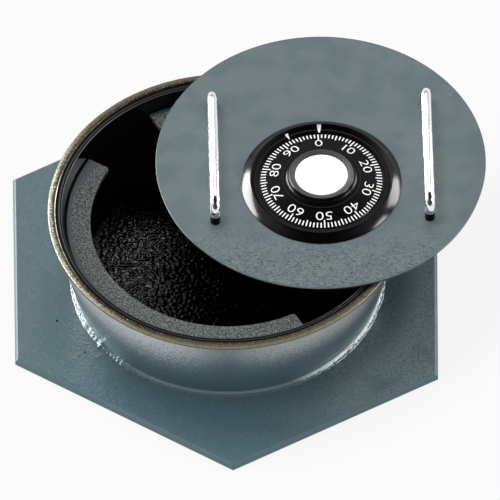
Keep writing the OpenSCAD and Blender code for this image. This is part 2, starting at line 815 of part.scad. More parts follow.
// A tube of d along path, as one closed surface
module wire(path, d, sides) {
    n = len(path);
    ring = [for (i = [0:n - 1]) let (
        p = path[i],
        t = path[min(i + 1, n - 1)] - path[max(i - 1, 0)],
        f = t / norm(t),
        s = cross(f, [0, 0, 1]) / norm(cross(f, [0, 0, 1])),
        u = cross(s, f)
    ) for (k = [0:sides - 1]) p + d / 2 * (cos(360 * k / sides) * s + sin(360 * k / sides) * u)];
    side = [for (i = [0:n - 2], k = [0:sides - 1]) let (
        a = i * sides + k,
        b = i * sides + (k + 1) % sides
    ) each [[a, a + sides, b + sides], [a, b + sides, b]]];
    first = [for (k = [1:sides - 2]) [0, k, k + 1]];
    last_ring = (n - 1) * sides;
    last = [for (k = [1:sides - 2]) [last_ring, last_ring + k + 1, last_ring + k]];
    polyhedron(ring, concat(side, first, last), convexity = 6);
}

module lever_spring() {
    color("#9aa0a2") on_lock() translate([pivot_x, pivot_y, 0])
        wire(spring_path, spring_wire, spring_sides);
}

// The lever: an arm on the bolt, the fence along the wheels and the nose beside the cam
module lever() {
    fence_left = fence_x - fence_w / 2;
    fence_near = -sqrt(pow(wheel_r + fence_clear, 2) - pow(fence_x + fence_w / 2, 2));
    nose_near = -sqrt(pow(cam_r + nose_clear, 2) - pow(fence_x + fence_w / 2, 2));
    color("#a9865a") on_lock() {
        down(lever_depth + lever_t) difference() {
            linear_extrude(lever_t) {
                translate([pivot_x, pivot_y]) circle(r = lever_arm_w / 2 + eye_out, $fn = 48);
                translate([fence_left, pivot_y - lever_arm_w / 2])
                    square([pivot_x - fence_left, lever_arm_w]);
                translate([fence_left, pivot_y])
                    square([fence_w, nose_near - pivot_y]);
            }
            translate([pivot_x, pivot_y, -over])
                cylinder(r = pivot_pin_r + shaft_gap, h = lever_t + 2 * over, $fn = 32);
        }
        down(lever_depth) translate([fence_left, fence_near - fence_t, 0])
            cube([fence_w, fence_t, lever_depth - wheel_depth(0)]);
    }
}

base_plate();
body_shell();
rim_ring();
base_weld();
front_ledge();
rear_ledge();
lid_plate();
left_lug();
right_lug();
left_handle();
right_handle();
handle_washers();
handle_screws();
dial_ring();
dial_ring_screws();
lock_case();
wheel_post();
lock_mounting_screws();
lock_cover();
cover_screws();
wheel_washers();
retaining_ring();
dial();
knob_disc();
spindle();
drive_cam();
spline_key();
wheel_1();
wheel_2();
wheel_3();
lock_bolt();
lever_screw();
lever_spring();
lever();
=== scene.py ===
"""Looks of a small floor safe, open, with its round lid lying across the rim.

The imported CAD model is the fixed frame. Each class below is one sub-assembly of the safe. It holds its
sizes in millimetres, works out its surfaces as numpy grids in the frame's metres, and gives them finishes.
"""

from __future__ import annotations

import json
import logging
import math
from collections.abc import Callable
from dataclasses import dataclass, replace
from enum import Enum

import bmesh
import bpy
import numpy as np
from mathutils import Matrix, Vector

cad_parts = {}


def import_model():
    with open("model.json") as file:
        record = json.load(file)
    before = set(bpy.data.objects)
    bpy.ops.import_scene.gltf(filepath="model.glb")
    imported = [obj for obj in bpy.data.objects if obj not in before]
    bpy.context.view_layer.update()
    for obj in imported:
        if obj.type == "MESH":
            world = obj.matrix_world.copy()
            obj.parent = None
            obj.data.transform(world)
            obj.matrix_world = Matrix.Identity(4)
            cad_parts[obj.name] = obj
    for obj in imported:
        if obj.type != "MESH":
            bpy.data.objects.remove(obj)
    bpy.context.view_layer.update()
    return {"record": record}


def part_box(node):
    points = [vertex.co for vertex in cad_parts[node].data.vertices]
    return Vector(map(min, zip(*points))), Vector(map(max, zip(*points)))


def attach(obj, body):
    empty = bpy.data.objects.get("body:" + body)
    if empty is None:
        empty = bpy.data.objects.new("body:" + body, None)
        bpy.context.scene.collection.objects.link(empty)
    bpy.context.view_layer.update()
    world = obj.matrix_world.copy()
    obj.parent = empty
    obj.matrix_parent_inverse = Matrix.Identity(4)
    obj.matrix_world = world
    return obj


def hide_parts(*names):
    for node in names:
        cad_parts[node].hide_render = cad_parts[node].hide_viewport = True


log = logging.getLogger("floor_safe")

MM = 0.001
# Edges that turn by more than this stay sharp
SHARP_DEG = 32.0
# Sharp enough for a bevel, and flat enough for two faces to be one
BEVEL_DEG = 40.0
FLAT_DEG = 0.5
# Points nearer than this are one, in metres, in a new piece and in a copy of a solid
MERGE = 1e-7
COPY_MERGE = 1e-6
# About the rim's radius, in metres, at which streaks along the turning have their true length
TURNING_RADIUS = 0.1
# Parts of a rounded corner
ROUND_STEPS = 4
# Half of the thickness of the printed ink, drawn thicker than the real one so that it shows
INK = 0.04
# Spacing of a numeral's figures, for the 10 and for the rest, and how far its strokes are thinned
TEN_SPACE = 0.88
FIGURE_SPACE = 1.02
FIGURE_THIN = 0.01

Array = np.ndarray
Surface = Callable[[Array], Array]
Tree = bpy.types.NodeTree
Socket = bpy.types.NodeSocket


class Body(str, Enum):
    """The moving bodies, by their names in the record."""

    SAFE = "safe"
    LID = "lid"
    DIAL = "dial_spindle"
    WHEEL_1 = "first_wheel"
    WHEEL_2 = "second_wheel"
    WHEEL_3 = "third_wheel"
    BOLT = "bolt"
    LEVER = "fence_lever"


# Small helpers


def linear(hex_colour: str) -> tuple[float, float, float, float]:
    """Turn an sRGB hex colour into a linear RGBA one.

    Args:
        hex_colour: the colour, such as "#717d7d".

    Returns:
        Its four linear channels.
    """
    srgb = np.array([int(hex_colour[i : i + 2], 16) for i in (1, 3, 5)]) / 255
    rgb = np.where(srgb <= 0.04045, srgb / 12.92, ((srgb + 0.055) / 1.055) ** 2.4)
    return (*(float(c) for c in rgb), 1.0)


def add_node(
    tree: Tree,
    kind: str,
    settings: dict[str | int, object] | None = None,
    links: dict[str | int, Socket] | None = None,
) -> bpy.types.Node:
    """Add a node with its settings and links.

    Args:
        tree: the node tree.
        kind: the node's type name.
        settings: socket values by socket name or number, and node properties by name.
        links: outputs that feed the node's inputs, by socket name or number.

    Returns:
        The new node.
    """
    node = tree.nodes.new(kind)
    for key, value in (settings or {}).items():
        if isinstance(key, int) or key in node.inputs:
            node.inputs[key].default_value = value
        else:
            setattr(node, key, value)
    for key, output in (links or {}).items():
        tree.links.new(output, node.inputs[key])
    return node


@dataclass(frozen=True)
class Ramp:
    """A share that goes from start to end while a value goes from low to high, gently if it is smooth."""

    value: Socket
    low: float
    high: float
    start: float = 0.0
    end: float = 1.0
    smooth: bool = False


def multiply_ramps(tree: Tree, ramps: list[Ramp]) -> Socket:
    """Multiply ramps with each other.

    Args:
        tree: the node tree.
        ramps: one ramp or more.

    Returns:
        Their product.
    """
    product = None
    for ramp in ramps:
        settings = {
            "interpolation_type": "SMOOTHSTEP" if ramp.smooth else "LINEAR",
            "From Min": ramp.low,
            "From Max": ramp.high,
            "To Min": ramp.start,
            "To Max": ramp.end,
        }
        share = add_node(tree, "ShaderNodeMapRange", settings, {"Value": ramp.value}).outputs["Result"]
        if product is not None:
            both = add_node(tree, "ShaderNodeMath", {"operation": "MULTIPLY"}, {0: product, 1: share})
            share = both.outputs["Value"]
        product = share
    return product


# Finishes


def noise_scale(cell_mm: float) -> float:
    """Return the scale at which a noise's cells have this size."""
    return 1 / (cell_mm * MM)


@dataclass(frozen=True)
class Relief:
    """The small relief of a surface, such as the orange peel of a sprayed enamel."""

    cell_mm: float
    height_mm: float
    detail: float = 2.0


@dataclass(frozen=True)
class Speckle:
    """A second colour in spots: where a noise of this grain passes the level low to high.

    The spots are stretched along X, or along the turning where turned is set. Where front_mm is given,
    they come in towards the front, between those two places along Y.
    """

    colour: str
    grain_mm: float
    low: float
    high: float
    stretch: float = 1.0
    turned: bool = False
    front_mm: tuple[float, float] | None = None


@dataclass(frozen=True)
class Fade:
    """A second colour that comes in with height, or with distance from the bowl's axis.

    Its border is grainy. Where towards_deg is given, it is full on that side of the bowl and fades out
    all the way round. With low_mm above high_mm it comes in downwards or inwards.
    """

    colour: str
    low_mm: float
    high_mm: float
    share: float
    by_radius: bool = False
    towards_deg: float | None = None
    reach_deg: float = 90.0
    grain_mm: float = 1.0
    ragged_mm: float = 8.0


@dataclass(frozen=True)
class Pattern:
    """Works out, in a material's nodes, where second colours lie, from Object coordinates and their axes."""

    tree: Tree
    coords: Socket
    axes: bpy.types.NodeOutputs

    def speckle(self, speckle: Speckle) -> Socket:
        """Find where spots lie: where the noise passes its level, and far enough to the front.

        Args:
            speckle: the spots.

        Returns:
            How much they cover, from 0 to 1.
        """
        place = self.coords
        if speckle.turned:
            place = self._along_turning(speckle.stretch)
        elif speckle.stretch != 1:
            squeeze = {"operation": "MULTIPLY", 1: (1 / speckle.stretch, 1, 1)}
            place = add_node(self.tree, "ShaderNodeVectorMath", squeeze, {0: self.coords}).outputs["Vector"]
        settings = {"Scale": noise_scale(speckle.grain_mm)}
        noise = add_node(self.tree, "ShaderNodeTexNoise", settings, {"Vector": place}).outputs["Fac"]
        ramps = [Ramp(noise, speckle.low, speckle.high)]
        if speckle.front_mm is not None:
            start, full = speckle.front_mm
            ramps.append(Ramp(self.axes["Y"], start * MM, full * MM))
        return multiply_ramps(self.tree, ramps)

    def fade(self, fade: Fade) -> Socket:
        """Find how far a second colour has come in.

        The height, or the distance from the axis, plus a noise goes through a smooth ramp. On one side
        only, that is multiplied by a ramp of the cosine between the place's direction and that side's.

        Args:
            fade: the second colour.

        Returns:
            How much it covers, from 0 to 1.
        """
        unit, radius = self._round_axis()
        level = radius if fade.by_radius else self.axes["Z"]
        settings = {"Scale": noise_scale(fade.grain_mm)}
        noise = add_node(self.tree, "ShaderNodeTexNoise", settings, {"Vector": self.coords}).outputs["Fac"]
        ragged = fade.ragged_mm * MM
        settings = {"operation": "MULTIPLY_ADD", 1: ragged}
        place = add_node(self.tree, "ShaderNodeMath", settings, {0: noise, 2: level})
        low, high = (border * MM + ragged / 2 for border in (fade.low_mm, fade.high_mm))
        ramps = [Ramp(place.outputs["Value"], low, high, end=fade.share, smooth=True)]
        if fade.towards_deg is not None:
            angle = math.radians(fade.towards_deg)
            side = {"operation": "DOT_PRODUCT", 1: (math.cos(angle), math.sin(angle), 0)}
            facing = add_node(self.tree, "ShaderNodeVectorMath", side, {0: unit}).outputs["Value"]
            ramps.append(Ramp(facing, math.cos(math.radians(fade.reach_deg)), 1.0, smooth=True))
        return multiply_ramps(self.tree, ramps)

    def _round_axis(self) -> tuple[Socket, Socket]:
        """Find where the place lies round the bowl's axis.

        Returns:
            The direction from the axis, of length 1, and the distance.
        """
        links = {"X": self.axes["X"], "Y": self.axes["Y"]}
        flat = add_node(self.tree, "ShaderNodeCombineXYZ", links=links).outputs[0]
        unit = add_node(self.tree, "ShaderNodeVectorMath", {"operation": "NORMALIZE"}, {0: flat})
        radius = add_node(self.tree, "ShaderNodeVectorMath", {"operation": "LENGTH"}, {0: flat})
        return unit.outputs["Vector"], radius.outputs["Value"]

    def _along_turning(self, stretch: float) -> Socket:
        """Make a place in which a noise runs in streaks round the bowl's axis.

        Args:
            stretch: how much longer than wide the streaks are.

        Returns:
            The direction at the turning's radius, shrunk by the stretch, and lifted by the distance.
        """
        unit, radius = self._round_axis()
        squeeze = {"operation": "MULTIPLY", 1: (TURNING_RADIUS / stretch,) * 3}
        around = add_node(self.tree, "ShaderNodeVectorMath", squeeze, {0: unit}).outputs["Vector"]
        lift = add_node(self.tree, "ShaderNodeCombineXYZ", links={"Z": radius}).outputs[0]
        links = {0: around, 1: lift}
        return add_node(self.tree, "ShaderNodeVectorMath", {"operation": "ADD"}, links).outputs["Vector"]


@dataclass(frozen=True)
class Finish:
    """One real finish, as a Principled material on Object coordinates.

    Its fades lie under its speckles, and its edges over both.
    """

    name: str
    colour: str
    roughness: float
    metallic: float = 0.0
    ior: float = 1.5
    reliefs: tuple[Relief, ...] = ()
    speckles: tuple[Speckle, ...] = ()
    fades: tuple[Fade, ...] = ()
    edges: tuple[Fade, ...] = ()

    def material(self) -> bpy.types.Material:
        """Return this finish's material, made at its first use."""
        found = bpy.data.materials.get(self.name)
        return found if found else self.build()

    def build(self) -> bpy.types.Material:
        """Build the material: its plain values, its second colours over each other, and its reliefs.

        Returns:
            The new material.
        """
        material = bpy.data.materials.new(self.name)
        material.use_nodes = True
        tree = material.node_tree
        shader = tree.nodes["Principled BSDF"]
        plain = {
            "Base Color": linear(self.colour),
            "Roughness": self.roughness,
            "Metallic": self.metallic,
            "IOR": self.ior,
        }
        for socket, value in plain.items():
            shader.inputs[socket].default_value = value
        layers = (*self.fades, *self.speckles, *self.edges)
        if not layers and not self.reliefs:
            return material
        coords = add_node(tree, "ShaderNodeTexCoord").outputs["Object"]
        axes = add_node(tree, "ShaderNodeSeparateXYZ", links={"Vector": coords}).outputs
        pattern = Pattern(tree, coords, axes)
        colour = None
        for layer in layers:
            share = pattern.fade(layer) if isinstance(layer, Fade) else pattern.speckle(layer)
            settings = {"data_type": "RGBA", 6: linear(self.colour), 7: linear(layer.colour)}
            links = {0: share} if colour is None else {0: share, 6: colour}
            colour = add_node(tree, "ShaderNodeMix", settings, links).outputs[2]
        normal = None
        for relief in self.reliefs:
            settings = {"Scale": noise_scale(relief.cell_mm), "Detail": relief.detail}
            noise = add_node(tree, "ShaderNodeTexNoise", settings, {"Vector": coords}).outputs["Fac"]
            links = {"Height": noise} if normal is None else {"Height": noise, "Normal": normal}
            bump = add_node(tree, "ShaderNodeBump", {"Distance": relief.height_mm * MM}, links)
            normal = bump.outputs["Normal"]
        for socket, output in (("Base Color", colour), ("Normal", normal)):
            if output is not None:
                tree.links.new(output, shader.inputs[socket])
        return material


# Hammered enamel on sheet steel: satin grey-green, with painted shade and painted highlights of its relief
# in short streaks across its front part
LID_ENAMEL = Finish(
    "lid_enamel",
    "#5e6a6c",
    0.34,
    ior=1.3,
    reliefs=(Relief(1.6, 0.25),),
    speckles=(
        Speckle("#566467", 18.0, 0.42, 0.60),
        # Painted highlight and painted shade of the relief, only towards the front
        Speckle("#6c7879", 0.9, 0.48, 0.60, stretch=2.0, front_mm=(-5, -45)),
        Speckle("#323d3f", 0.7, 0.55, 0.64, stretch=2.6, front_mm=(-5, -45)),
    ),
)
# The lid's edge: a fine line of painted shade where its top ends, and a side in painted shade, lifted on the
# right, with a painted highlight line along its top and a painted highlight on the left
LID_SHADE_LINE = Finish("lid_edge_line", "#39474a", 0.4, ior=1.2)
LID_SIDE_PAINTED_LIGHT = Finish(
    "lid_side",
    "#0d1213",
    0.4,
    ior=1.2,
    fades=(
        # Painted shade lifted on the right, a painted highlight line along the top, and a painted highlight
        # on the left
        Fade("#3c4c52", 0, 1, 1.0, by_radius=True, towards_deg=-18, reach_deg=26),
        Fade("#87949a", 68.7, 69.1, 1.0, grain_mm=2, ragged_mm=0.2),
        Fade("#a9b4b6", 0, 1, 1.0, by_radius=True, towards_deg=170, reach_deg=75),
    ),
)
# The plate's enamel is bluer and glossier, so its peel sparkles where the light is low. Painted light makes
# it paler at the front and on the right, lifting the shade and standing in for sheen, and a painted shadow
# darkens it there beside the weld. Its edge is paler and duller
PLATE_ENAMEL = Finish(
    "plate_enamel",
    "#436067",
    0.30,
    reliefs=(Relief(1.8, 0.30), Relief(7.0, 0.25)),
    fades=(
        # Painted light at the front and on the right, and a painted shadow beside the weld on the right
        Fade("#4c6870", 0, 1, 1.0, by_radius=True, towards_deg=-90, reach_deg=60),
        Fade("#728083", 0, 1, 1.0, by_radius=True, towards_deg=-5, reach_deg=78),
        Fade("#32464c", 124, 100, 1.0, by_radius=True, towards_deg=-20, reach_deg=62, ragged_mm=12),
    ),
    speckles=(
        Speckle("#4a5c63", 24.0, 0.54, 0.78),
        Speckle("#41565c", 1.5, 0.50, 0.70),
        Speckle("#566b71", 1.8, 0.54, 0.74),
    ),
)
PLATE_EDGE = Finish("plate_edge", "#50686e", 0.45, ior=1.3)
# Inside, thick black enamel with a leathery skin of small glossy humps
FLOOR_ENAMEL = Finish("floor_enamel", "#020203", 0.07, ior=1.45, reliefs=(Relief(2.4, 0.95, 0.4),))
# The wall's enamel, with painted reflections of the white floor: a paler and greyer grainy band under the
# rim and two broad pale patches at the front; and painted light that makes it a paler blue low down on the
# left and right
WALL_ENAMEL = Finish(
    "wall_enamel",
    "#455d64",
    0.30,
    reliefs=(Relief(1.2, 0.16),),
    fades=(
        # Painted reflections of the white floor: a band under the rim and two patches at the front
        Fade("#70777b", 38, 60, 1.0, ragged_mm=40),
        Fade("#bfc3c6", 22, 62, 1.0, towards_deg=-131, reach_deg=44, ragged_mm=60),
        Fade("#a6aaac", 28, 60, 1.0, towards_deg=-60, reach_deg=34, ragged_mm=50),
        # Painted light low down on the left and on the right
        Fade("#86a5ae", 40, 12, 0.85, towards_deg=208, reach_deg=26),
        Fade("#5f7479", 34, 16, 0.8, towards_deg=-38, reach_deg=34),
    ),
    speckles=(Speckle("#4a5b61", 0.8, 0.52, 0.70),),
)
# The weld under its enamel: uneven and glossy, with painted highlights along a pair of ridges on its left
# and on its right, and a paler painted highlight along the front
WELD_LEFT_HIGHLIGHT = Fade(
    "#e4ecee", 95.4, 94.4, 1.0, by_radius=True, towards_deg=196, reach_deg=21, grain_mm=1.8, ragged_mm=3
)
WELD_RIGHT_HIGHLIGHT = Fade(
    "#f4f8f9", 95.9, 95.3, 1.0, by_radius=True, towards_deg=-30, reach_deg=38, grain_mm=2.2, ragged_mm=2.8
)
WELD_ENAMEL = Finish(
    "weld_enamel",
    "#4c6066",
    0.20,
    reliefs=(Relief(1.2, 0.16), Relief(3.5, 0.4)),
    fades=(
        # Painted highlight along the front
        Fade("#83979c", 96.2, 95.0, 0.45, by_radius=True, towards_deg=-95, reach_deg=60, ragged_mm=1),
        WELD_LEFT_HIGHLIGHT,
        replace(WELD_LEFT_HIGHLIGHT, colour="#c9d6d9", low_mm=95.2, high_mm=96.4, share=0.8),
        WELD_RIGHT_HIGHLIGHT,
        replace(WELD_RIGHT_HIGHLIGHT, colour="#a9b9bd", low_mm=96.3, high_mm=96.7, share=0.8, ragged_mm=2.0),
    ),
)
# The inner wall's black enamel is smooth and glossy enough to mirror the ledges
INNER_ENAMEL = Finish("inner_enamel", "#08090a", 0.12, reliefs=(Relief(1.5, 0.03),))
# Black enamel on the ledges, drawn as a grey ground with close dark pits and a few pale grains: a painted
# reflection of the sky in its rough peel. A plain blue-green strip runs along the outer edge, wider at the
# left one's rear end
LEDGE_ENAMEL = Finish(
    "ledge_enamel",
    # A grey ground and speckles, painted for the sky's reflection in black enamel
    "#484e4e",
    0.42,
    reliefs=(Relief(0.9, 0.16),),
    speckles=(Speckle("#020303", 1.3, 0.49, 0.54), Speckle("#808382", 0.9, 0.60, 0.65)),
    edges=(
        Fade("#2b373a", 95.0, 96.0, 1.0, by_radius=True, grain_mm=1.6, ragged_mm=2.4),
        Fade("#2b373a", 91.4, 92.4, 1.0, by_radius=True, towards_deg=146, reach_deg=24, ragged_mm=4),
    ),
)
# Bare turned mild steel, gone yellow, stained olive brown towards the bore, with streaks and pits along the
# turning. A painted highlight runs round its outer edge, and on the left, where the turning mirrors the
# light, one lies on the land and along its inner edge. The stain is a dull film over the metal, so the
# finish is only part metallic and its IOR is low
RIM_STEEL = Finish(
    "turned_steel",
    "#655f49",
    0.36,
    metallic=0.35,
    ior=1.3,
    reliefs=(Relief(0.8, 0.06),),
    fades=(
        # Painted highlight at the outer edge all round
        Fade("#7b7966", 108.2, 109.0, 0.9, by_radius=True, grain_mm=1.5, ragged_mm=0.6),
        Fade("#2c2818", 107.9, 106.2, 0.95, by_radius=True, grain_mm=1.5, ragged_mm=1.0),
        Fade("#0e0e0c", 106.3, 105.4, 0.9, by_radius=True, grain_mm=1.5, ragged_mm=0.8),
        # Painted highlight on the left, where the turning mirrors the light
        Fade("#bcbaac", 106.6, 108.4, 0.95, by_radius=True, towards_deg=190, reach_deg=52),
        Fade("#0a0a08", 107.6, 106.8, 0.9, by_radius=True, towards_deg=-130, reach_deg=26, ragged_mm=2.4),
        # Painted highlight along the land's inner edge on the left
        Fade("#d2d1c8", 105.7, 105.2, 0.9, by_radius=True, towards_deg=188, reach_deg=26, ragged_mm=0.5),
    ),
    speckles=(
        Speckle("#1f1b10", 0.45, 0.56, 0.68, stretch=1.5, turned=True),
        Speckle("#cdc9b6", 0.45, 0.64, 0.76, stretch=1.5, turned=True),
        Speckle("#5f5434", 1.3, 0.54, 0.66),
        Speckle("#1b170d", 1.2, 0.62, 0.70),
    ),
)
# The rim's outer face, duller and brown, and the seam under it, painted dark
RIM_FACE = Finish("turned_face", "#77735f", 0.40, ior=1.25, reliefs=(Relief(0.8, 0.08),))
SEAM_DARK = Finish("seam_dirt", "#12110e", 0.8, ior=1.2)
# Black enamel on the step inside the land, with a painted highlight in the scored line and at the edge of
# the bore, brighter at the front right
STEP_ENAMEL = Finish("step_enamel", "#0b0c0c", 0.30, ior=1.09)
STEP_SCORE = Finish("step_score", "#2f3032", 0.40, ior=1.12)
STEP_BORE_HIGHLIGHT = Finish(
    "step_worn",
    "#3c3d40",
    0.40,
    ior=1.2,
    # Painted highlight at the edge of the bore, brighter at the front right
    fades=(Fade("#7c7d80", 50, 60, 1.0, towards_deg=-50, reach_deg=45),),
)
# Polished chrome plate on steel rod, a clean mirror, painted dark round the legs for their reflection of the
# shade there
CHROME = Finish(
    "chrome_plate",
    "#e9ebee",
    0.05,
    metallic=1.0,
    # Painted dark low on the legs: their reflection of the shade round them
    fades=(Fade("#1d272b", 76.4, 75.6, 1.0, ragged_mm=0.6),),
)
# Moulded black plastic of the dial ring, polished so that it mirrors the lamps
RING_BLACK = Finish("ring_gloss_black", "#040405", 0.17, ior=1.28)
# The ring's steep inner wall and its thin lip are duller, and the lip is a paler painted reflection line
RING_WALL = Finish("ring_wall_black", "#020202", 0.5, ior=1.1)
# A painted reflection line on the lip
RING_LIP = Finish("ring_lip", "#221f1e", 0.5, ior=1.1)
# Satin black of the moulded dial and of the knob's flare, and the dark grey of the knob's top
DIAL_BLACK = Finish("dial_satin_black", "#020203", 0.24, ior=1.27)
KNOB_BLACK = Finish("knob_gloss_black", "#050506", 0.24, ior=1.2)
KNOB_GREY = Finish("knob_face_grey", "#2b2a28", 0.45)
# Flat white printing ink, and the moulded white plastic of the blank disc
INK_WHITE = Finish("ink_white", "#f2f2ee", 0.5)
DISC_WHITE = Finish("blank_disc_white", "#fbfbfa", 0.35)
# Under the lid: bright zinc plate on screws and washers, grainy grey die-cast zinc, and machined brass
ZINC_PLATE = Finish("zinc_plate", "#b3b6b8", 0.32, metallic=1.0)
CAST_ZINC = Finish("cast_zinc", "#b4b0a6", 0.45, metallic=0.9, reliefs=(Relief(0.9, 0.02),))
BRASS = Finish("machined_brass", "#cfae6b", 0.28, metallic=1.0)


# Surfaces


@dataclass(frozen=True)
class Place:
    """A place in the frame: local millimetres are turned by yaw and moved to (x, y, z) in metres."""

    x: float = 0.0
    y: float = 0.0
    z: float = 0.0
    yaw: float = 0.0

    def to_frame(self, points: Array) -> Array:
        """Turn and move local points.

        Args:
            points: an array (..., 3) in millimetres.

        Returns:
            The same points in the frame, in metres.
        """
        c, s = math.cos(self.yaw), math.sin(self.yaw)
        turn = np.array([[c, s, 0], [-s, c, 0], [0, 0, 1]])
        return points * MM @ turn + np.array([self.x, self.y, self.z])


def polar(
    angle: Array | float, radius: Array | float, height: Array | float, across: Array | float = 0.0
) -> Array:
    """Place points round an axis: out in the direction of an angle, and aside from that direction.

    x = radius cos a - across sin a, y = radius sin a + across cos a, z = height.

    Args:
        angle: directions.
        radius: distances along them.
        height: heights.
        across: distances square to them.

    Returns:
        Points (..., 3), on the grid that the four make together.
    """
    x = radius * np.cos(angle) - across * np.sin(angle)
    y = radius * np.sin(angle) + across * np.cos(angle)
    return np.stack(np.broadcast_arrays(x, y, height), -1)


def grid_faces(rows: int, columns: int, wrap: bool) -> Array:
    """Quads of a grid of points.

    Args:
        rows: number of rows.
        columns: points in a row, which always closes on itself.
        wrap: whether the last row joins the first.

    Returns:
        (m, 4) vertex numbers, row by row.
    """
    i = np.arange(rows if wrap else rows - 1)[:, None]
    j = np.arange(columns)[None, :]
    below, above = i * columns, ((i + 1) % rows) * columns
    right = (j + 1) % columns
    return np.stack([below + j, below + right, above + right, above + j], -1).reshape(-1, 4)


def rounded(corners: Array) -> Array:
    """Round the corners of a profile: each corner is the parabola between a point before and one after it.

    Args:
        corners: (k, 3) places across and up, and how far before and after the corner its curve starts.
            That is cut to a little less than half of the shorter side, and it is 0 at an open end.

    Returns:
        (k * (ROUND_STEPS + 1), 2) points.
    """
    points = corners[:, :2]
    before, after = np.roll(points, 1, 0) - points, np.roll(points, -1, 0) - points
    lengths = np.linalg.norm(before, axis=1), np.linalg.norm(after, axis=1)
    reach = np.minimum(corners[:, 2], 0.48 * np.minimum(*lengths))[:, None, None]
    u = np.linspace(0, 1, ROUND_STEPS + 1)[None, :, None]
    start = reach * (before / lengths[0][:, None])[:, None, :]
    end = reach * (after / lengths[1][:, None])[:, None, :]
    return (points[:, None, :] + (1 - u) ** 2 * start + u**2 * end).reshape(-1, 2)


def add_object(name: str, mesh: bpy.types.Mesh, sharp_deg: float | None = SHARP_DEG) -> bpy.types.Object:
    """Put a mesh in the scene.

    Args:
        name: the object's name.
        mesh: its mesh.
        sharp_deg: edges that turn by more than this stay sharp. With None every face stays flat.

    Returns:
        The new object.
    """
    if sharp_deg is not None:
        mesh.shade_smooth()
        mesh.set_sharp_from_angle(angle=math.radians(sharp_deg))
    piece = bpy.data.objects.new(name, mesh)
    bpy.context.scene.collection.objects.link(piece)
    return piece


def mesh_piece(
    name: str,
    vertices: Array,
    faces: Array,
    finishes: list[Finish],
    face_finish: Array | None = None,
    sharp_deg: float = SHARP_DEG,
) -> bpy.types.Object:
    """Make an object from arrays, with doubles merged, faces outwards and smooth shading by angle.

    Args:
        name: the piece's name.
        vertices: (n, 3) in metres.
        faces: (m, 4) vertex numbers.
        finishes: the materials in slot order.
        face_finish: the slot of each face, or None for slot 0.
        sharp_deg: edges that turn by more than this stay sharp.

    Returns:
        The new object.
    """
    mesh = bpy.data.meshes.new(name)
    mesh.from_pydata(vertices.reshape(-1, 3).tolist(), [], faces.tolist())
    for finish in finishes:
        mesh.materials.append(finish.material())
    if face_finish is not None:
        mesh.polygons.foreach_set("material_index", face_finish.astype(np.int32))
    work = bmesh.new()
    work.from_mesh(mesh)
    bmesh.ops.remove_doubles(work, verts=work.verts, dist=MERGE)
    bmesh.ops.dissolve_degenerate(work, edges=work.edges, dist=MERGE / 10)
    bmesh.ops.recalc_face_normals(work, faces=work.faces)
    work.to_mesh(mesh)
    work.free()
    return add_object(name, mesh, sharp_deg)


def lathe(
    name: str,
    profile: Array,
    place: Place,
    finishes: list[Finish],
    sides: Array | None = None,
    closed: bool = True,
    segments: int = 288,
) -> bpy.types.Object:
    """Turn a profile (radius, height) about the upright axis: x = r cos a, y = r sin a, z = h.

    Args:
        name: the piece's name.
        profile: (k, 2) radii and heights in millimetres.
        place: where the axis stands.
        finishes: the materials in slot order.
        sides: the slot of each profile side, or None.
        closed: whether the profile closes on itself, as for a ring. An open one runs from axis to axis.
        segments: points round the axis.

    Returns:
        The new object.
    """
    angle = np.linspace(0, 2 * np.pi, segments, endpoint=False)
    points = polar(angle, profile[:, :1], profile[:, 1:])
    faces = grid_faces(len(profile), segments, closed)
    slots = None if sides is None else np.repeat(sides[: len(faces) // segments], segments)
    return mesh_piece(name, place.to_frame(points), faces, finishes, slots)


def merged_copy(node: str, finish: Finish, bevel_mm: float = 0.0) -> bpy.types.Object:
    """Copy a CAD node as one closed mesh with smooth shading by angle, and bevel its sharp edges.

    Args:
        node: the CAD node that the copy stands for.
        finish: its finish.
        bevel_mm: width of the bevel, or 0 for none.

    Returns:
        The new object, placed as the node is.
    """
    mesh = bpy.data.objects[node].data.copy()
    mesh.name = node + "_made"
    mesh.materials.clear()
    mesh.materials.append(finish.material())
    work = bmesh.new()
    work.from_mesh(mesh)
    bmesh.ops.remove_doubles(work, verts=work.verts, dist=COPY_MERGE)
    flat = math.radians(FLAT_DEG)
    bmesh.ops.dissolve_limit(work, angle_limit=flat, verts=work.verts, edges=work.edges)
    for face in work.faces:
        face.material_index = 0
    work.to_mesh(mesh)
    work.free()
    piece = add_object(mesh.name, mesh)
    if bevel_mm:
        bevel = piece.modifiers.new("edge", "BEVEL")
        bevel.width = bevel_mm * MM
        bevel.segments = 2
        bevel.limit_method = "ANGLE"
        bevel.angle_limit = math.radians(BEVEL_DEG)
        bevel.harden_normals = True
    return piece


def settle(piece: bpy.types.Object, body: Body, slot: str, *nodes: str) -> None:
    """Let a piece ride on its body and stand for its CAD nodes.

    Args:
        piece: the piece.
        body: the body.
        slot: the record's material slot. Not used.
        nodes: the CAD nodes that the piece replaces.
    """
    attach(piece, body.value)
    if nodes:
        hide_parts(*nodes)
    log.info("%s: %d faces on %s", piece.name, len(piece.data.polygons), body.value)


def flat_corners(node: str) -> Array:
    """Find the corners of a node's flat underside.

    Args:
        node: the CAD node.

    Returns:
        The corners (k, 2) in order round the node, in millimetres.
    """
    mesh = bpy.data.objects[node].data
    points = np.empty(len(mesh.vertices) * 3)
    mesh.vertices.foreach_get("co", points)
    points = points.reshape(-1, 3)
    low = points[points[:, 2] < points[:, 2].min() + COPY_MERGE, :2]
    corners = np.unique(np.round(low / MM, 3), axis=0)
    return corners[np.argsort(np.arctan2(corners[:, 1], corners[:, 0]))]


# The safe's base and bowl


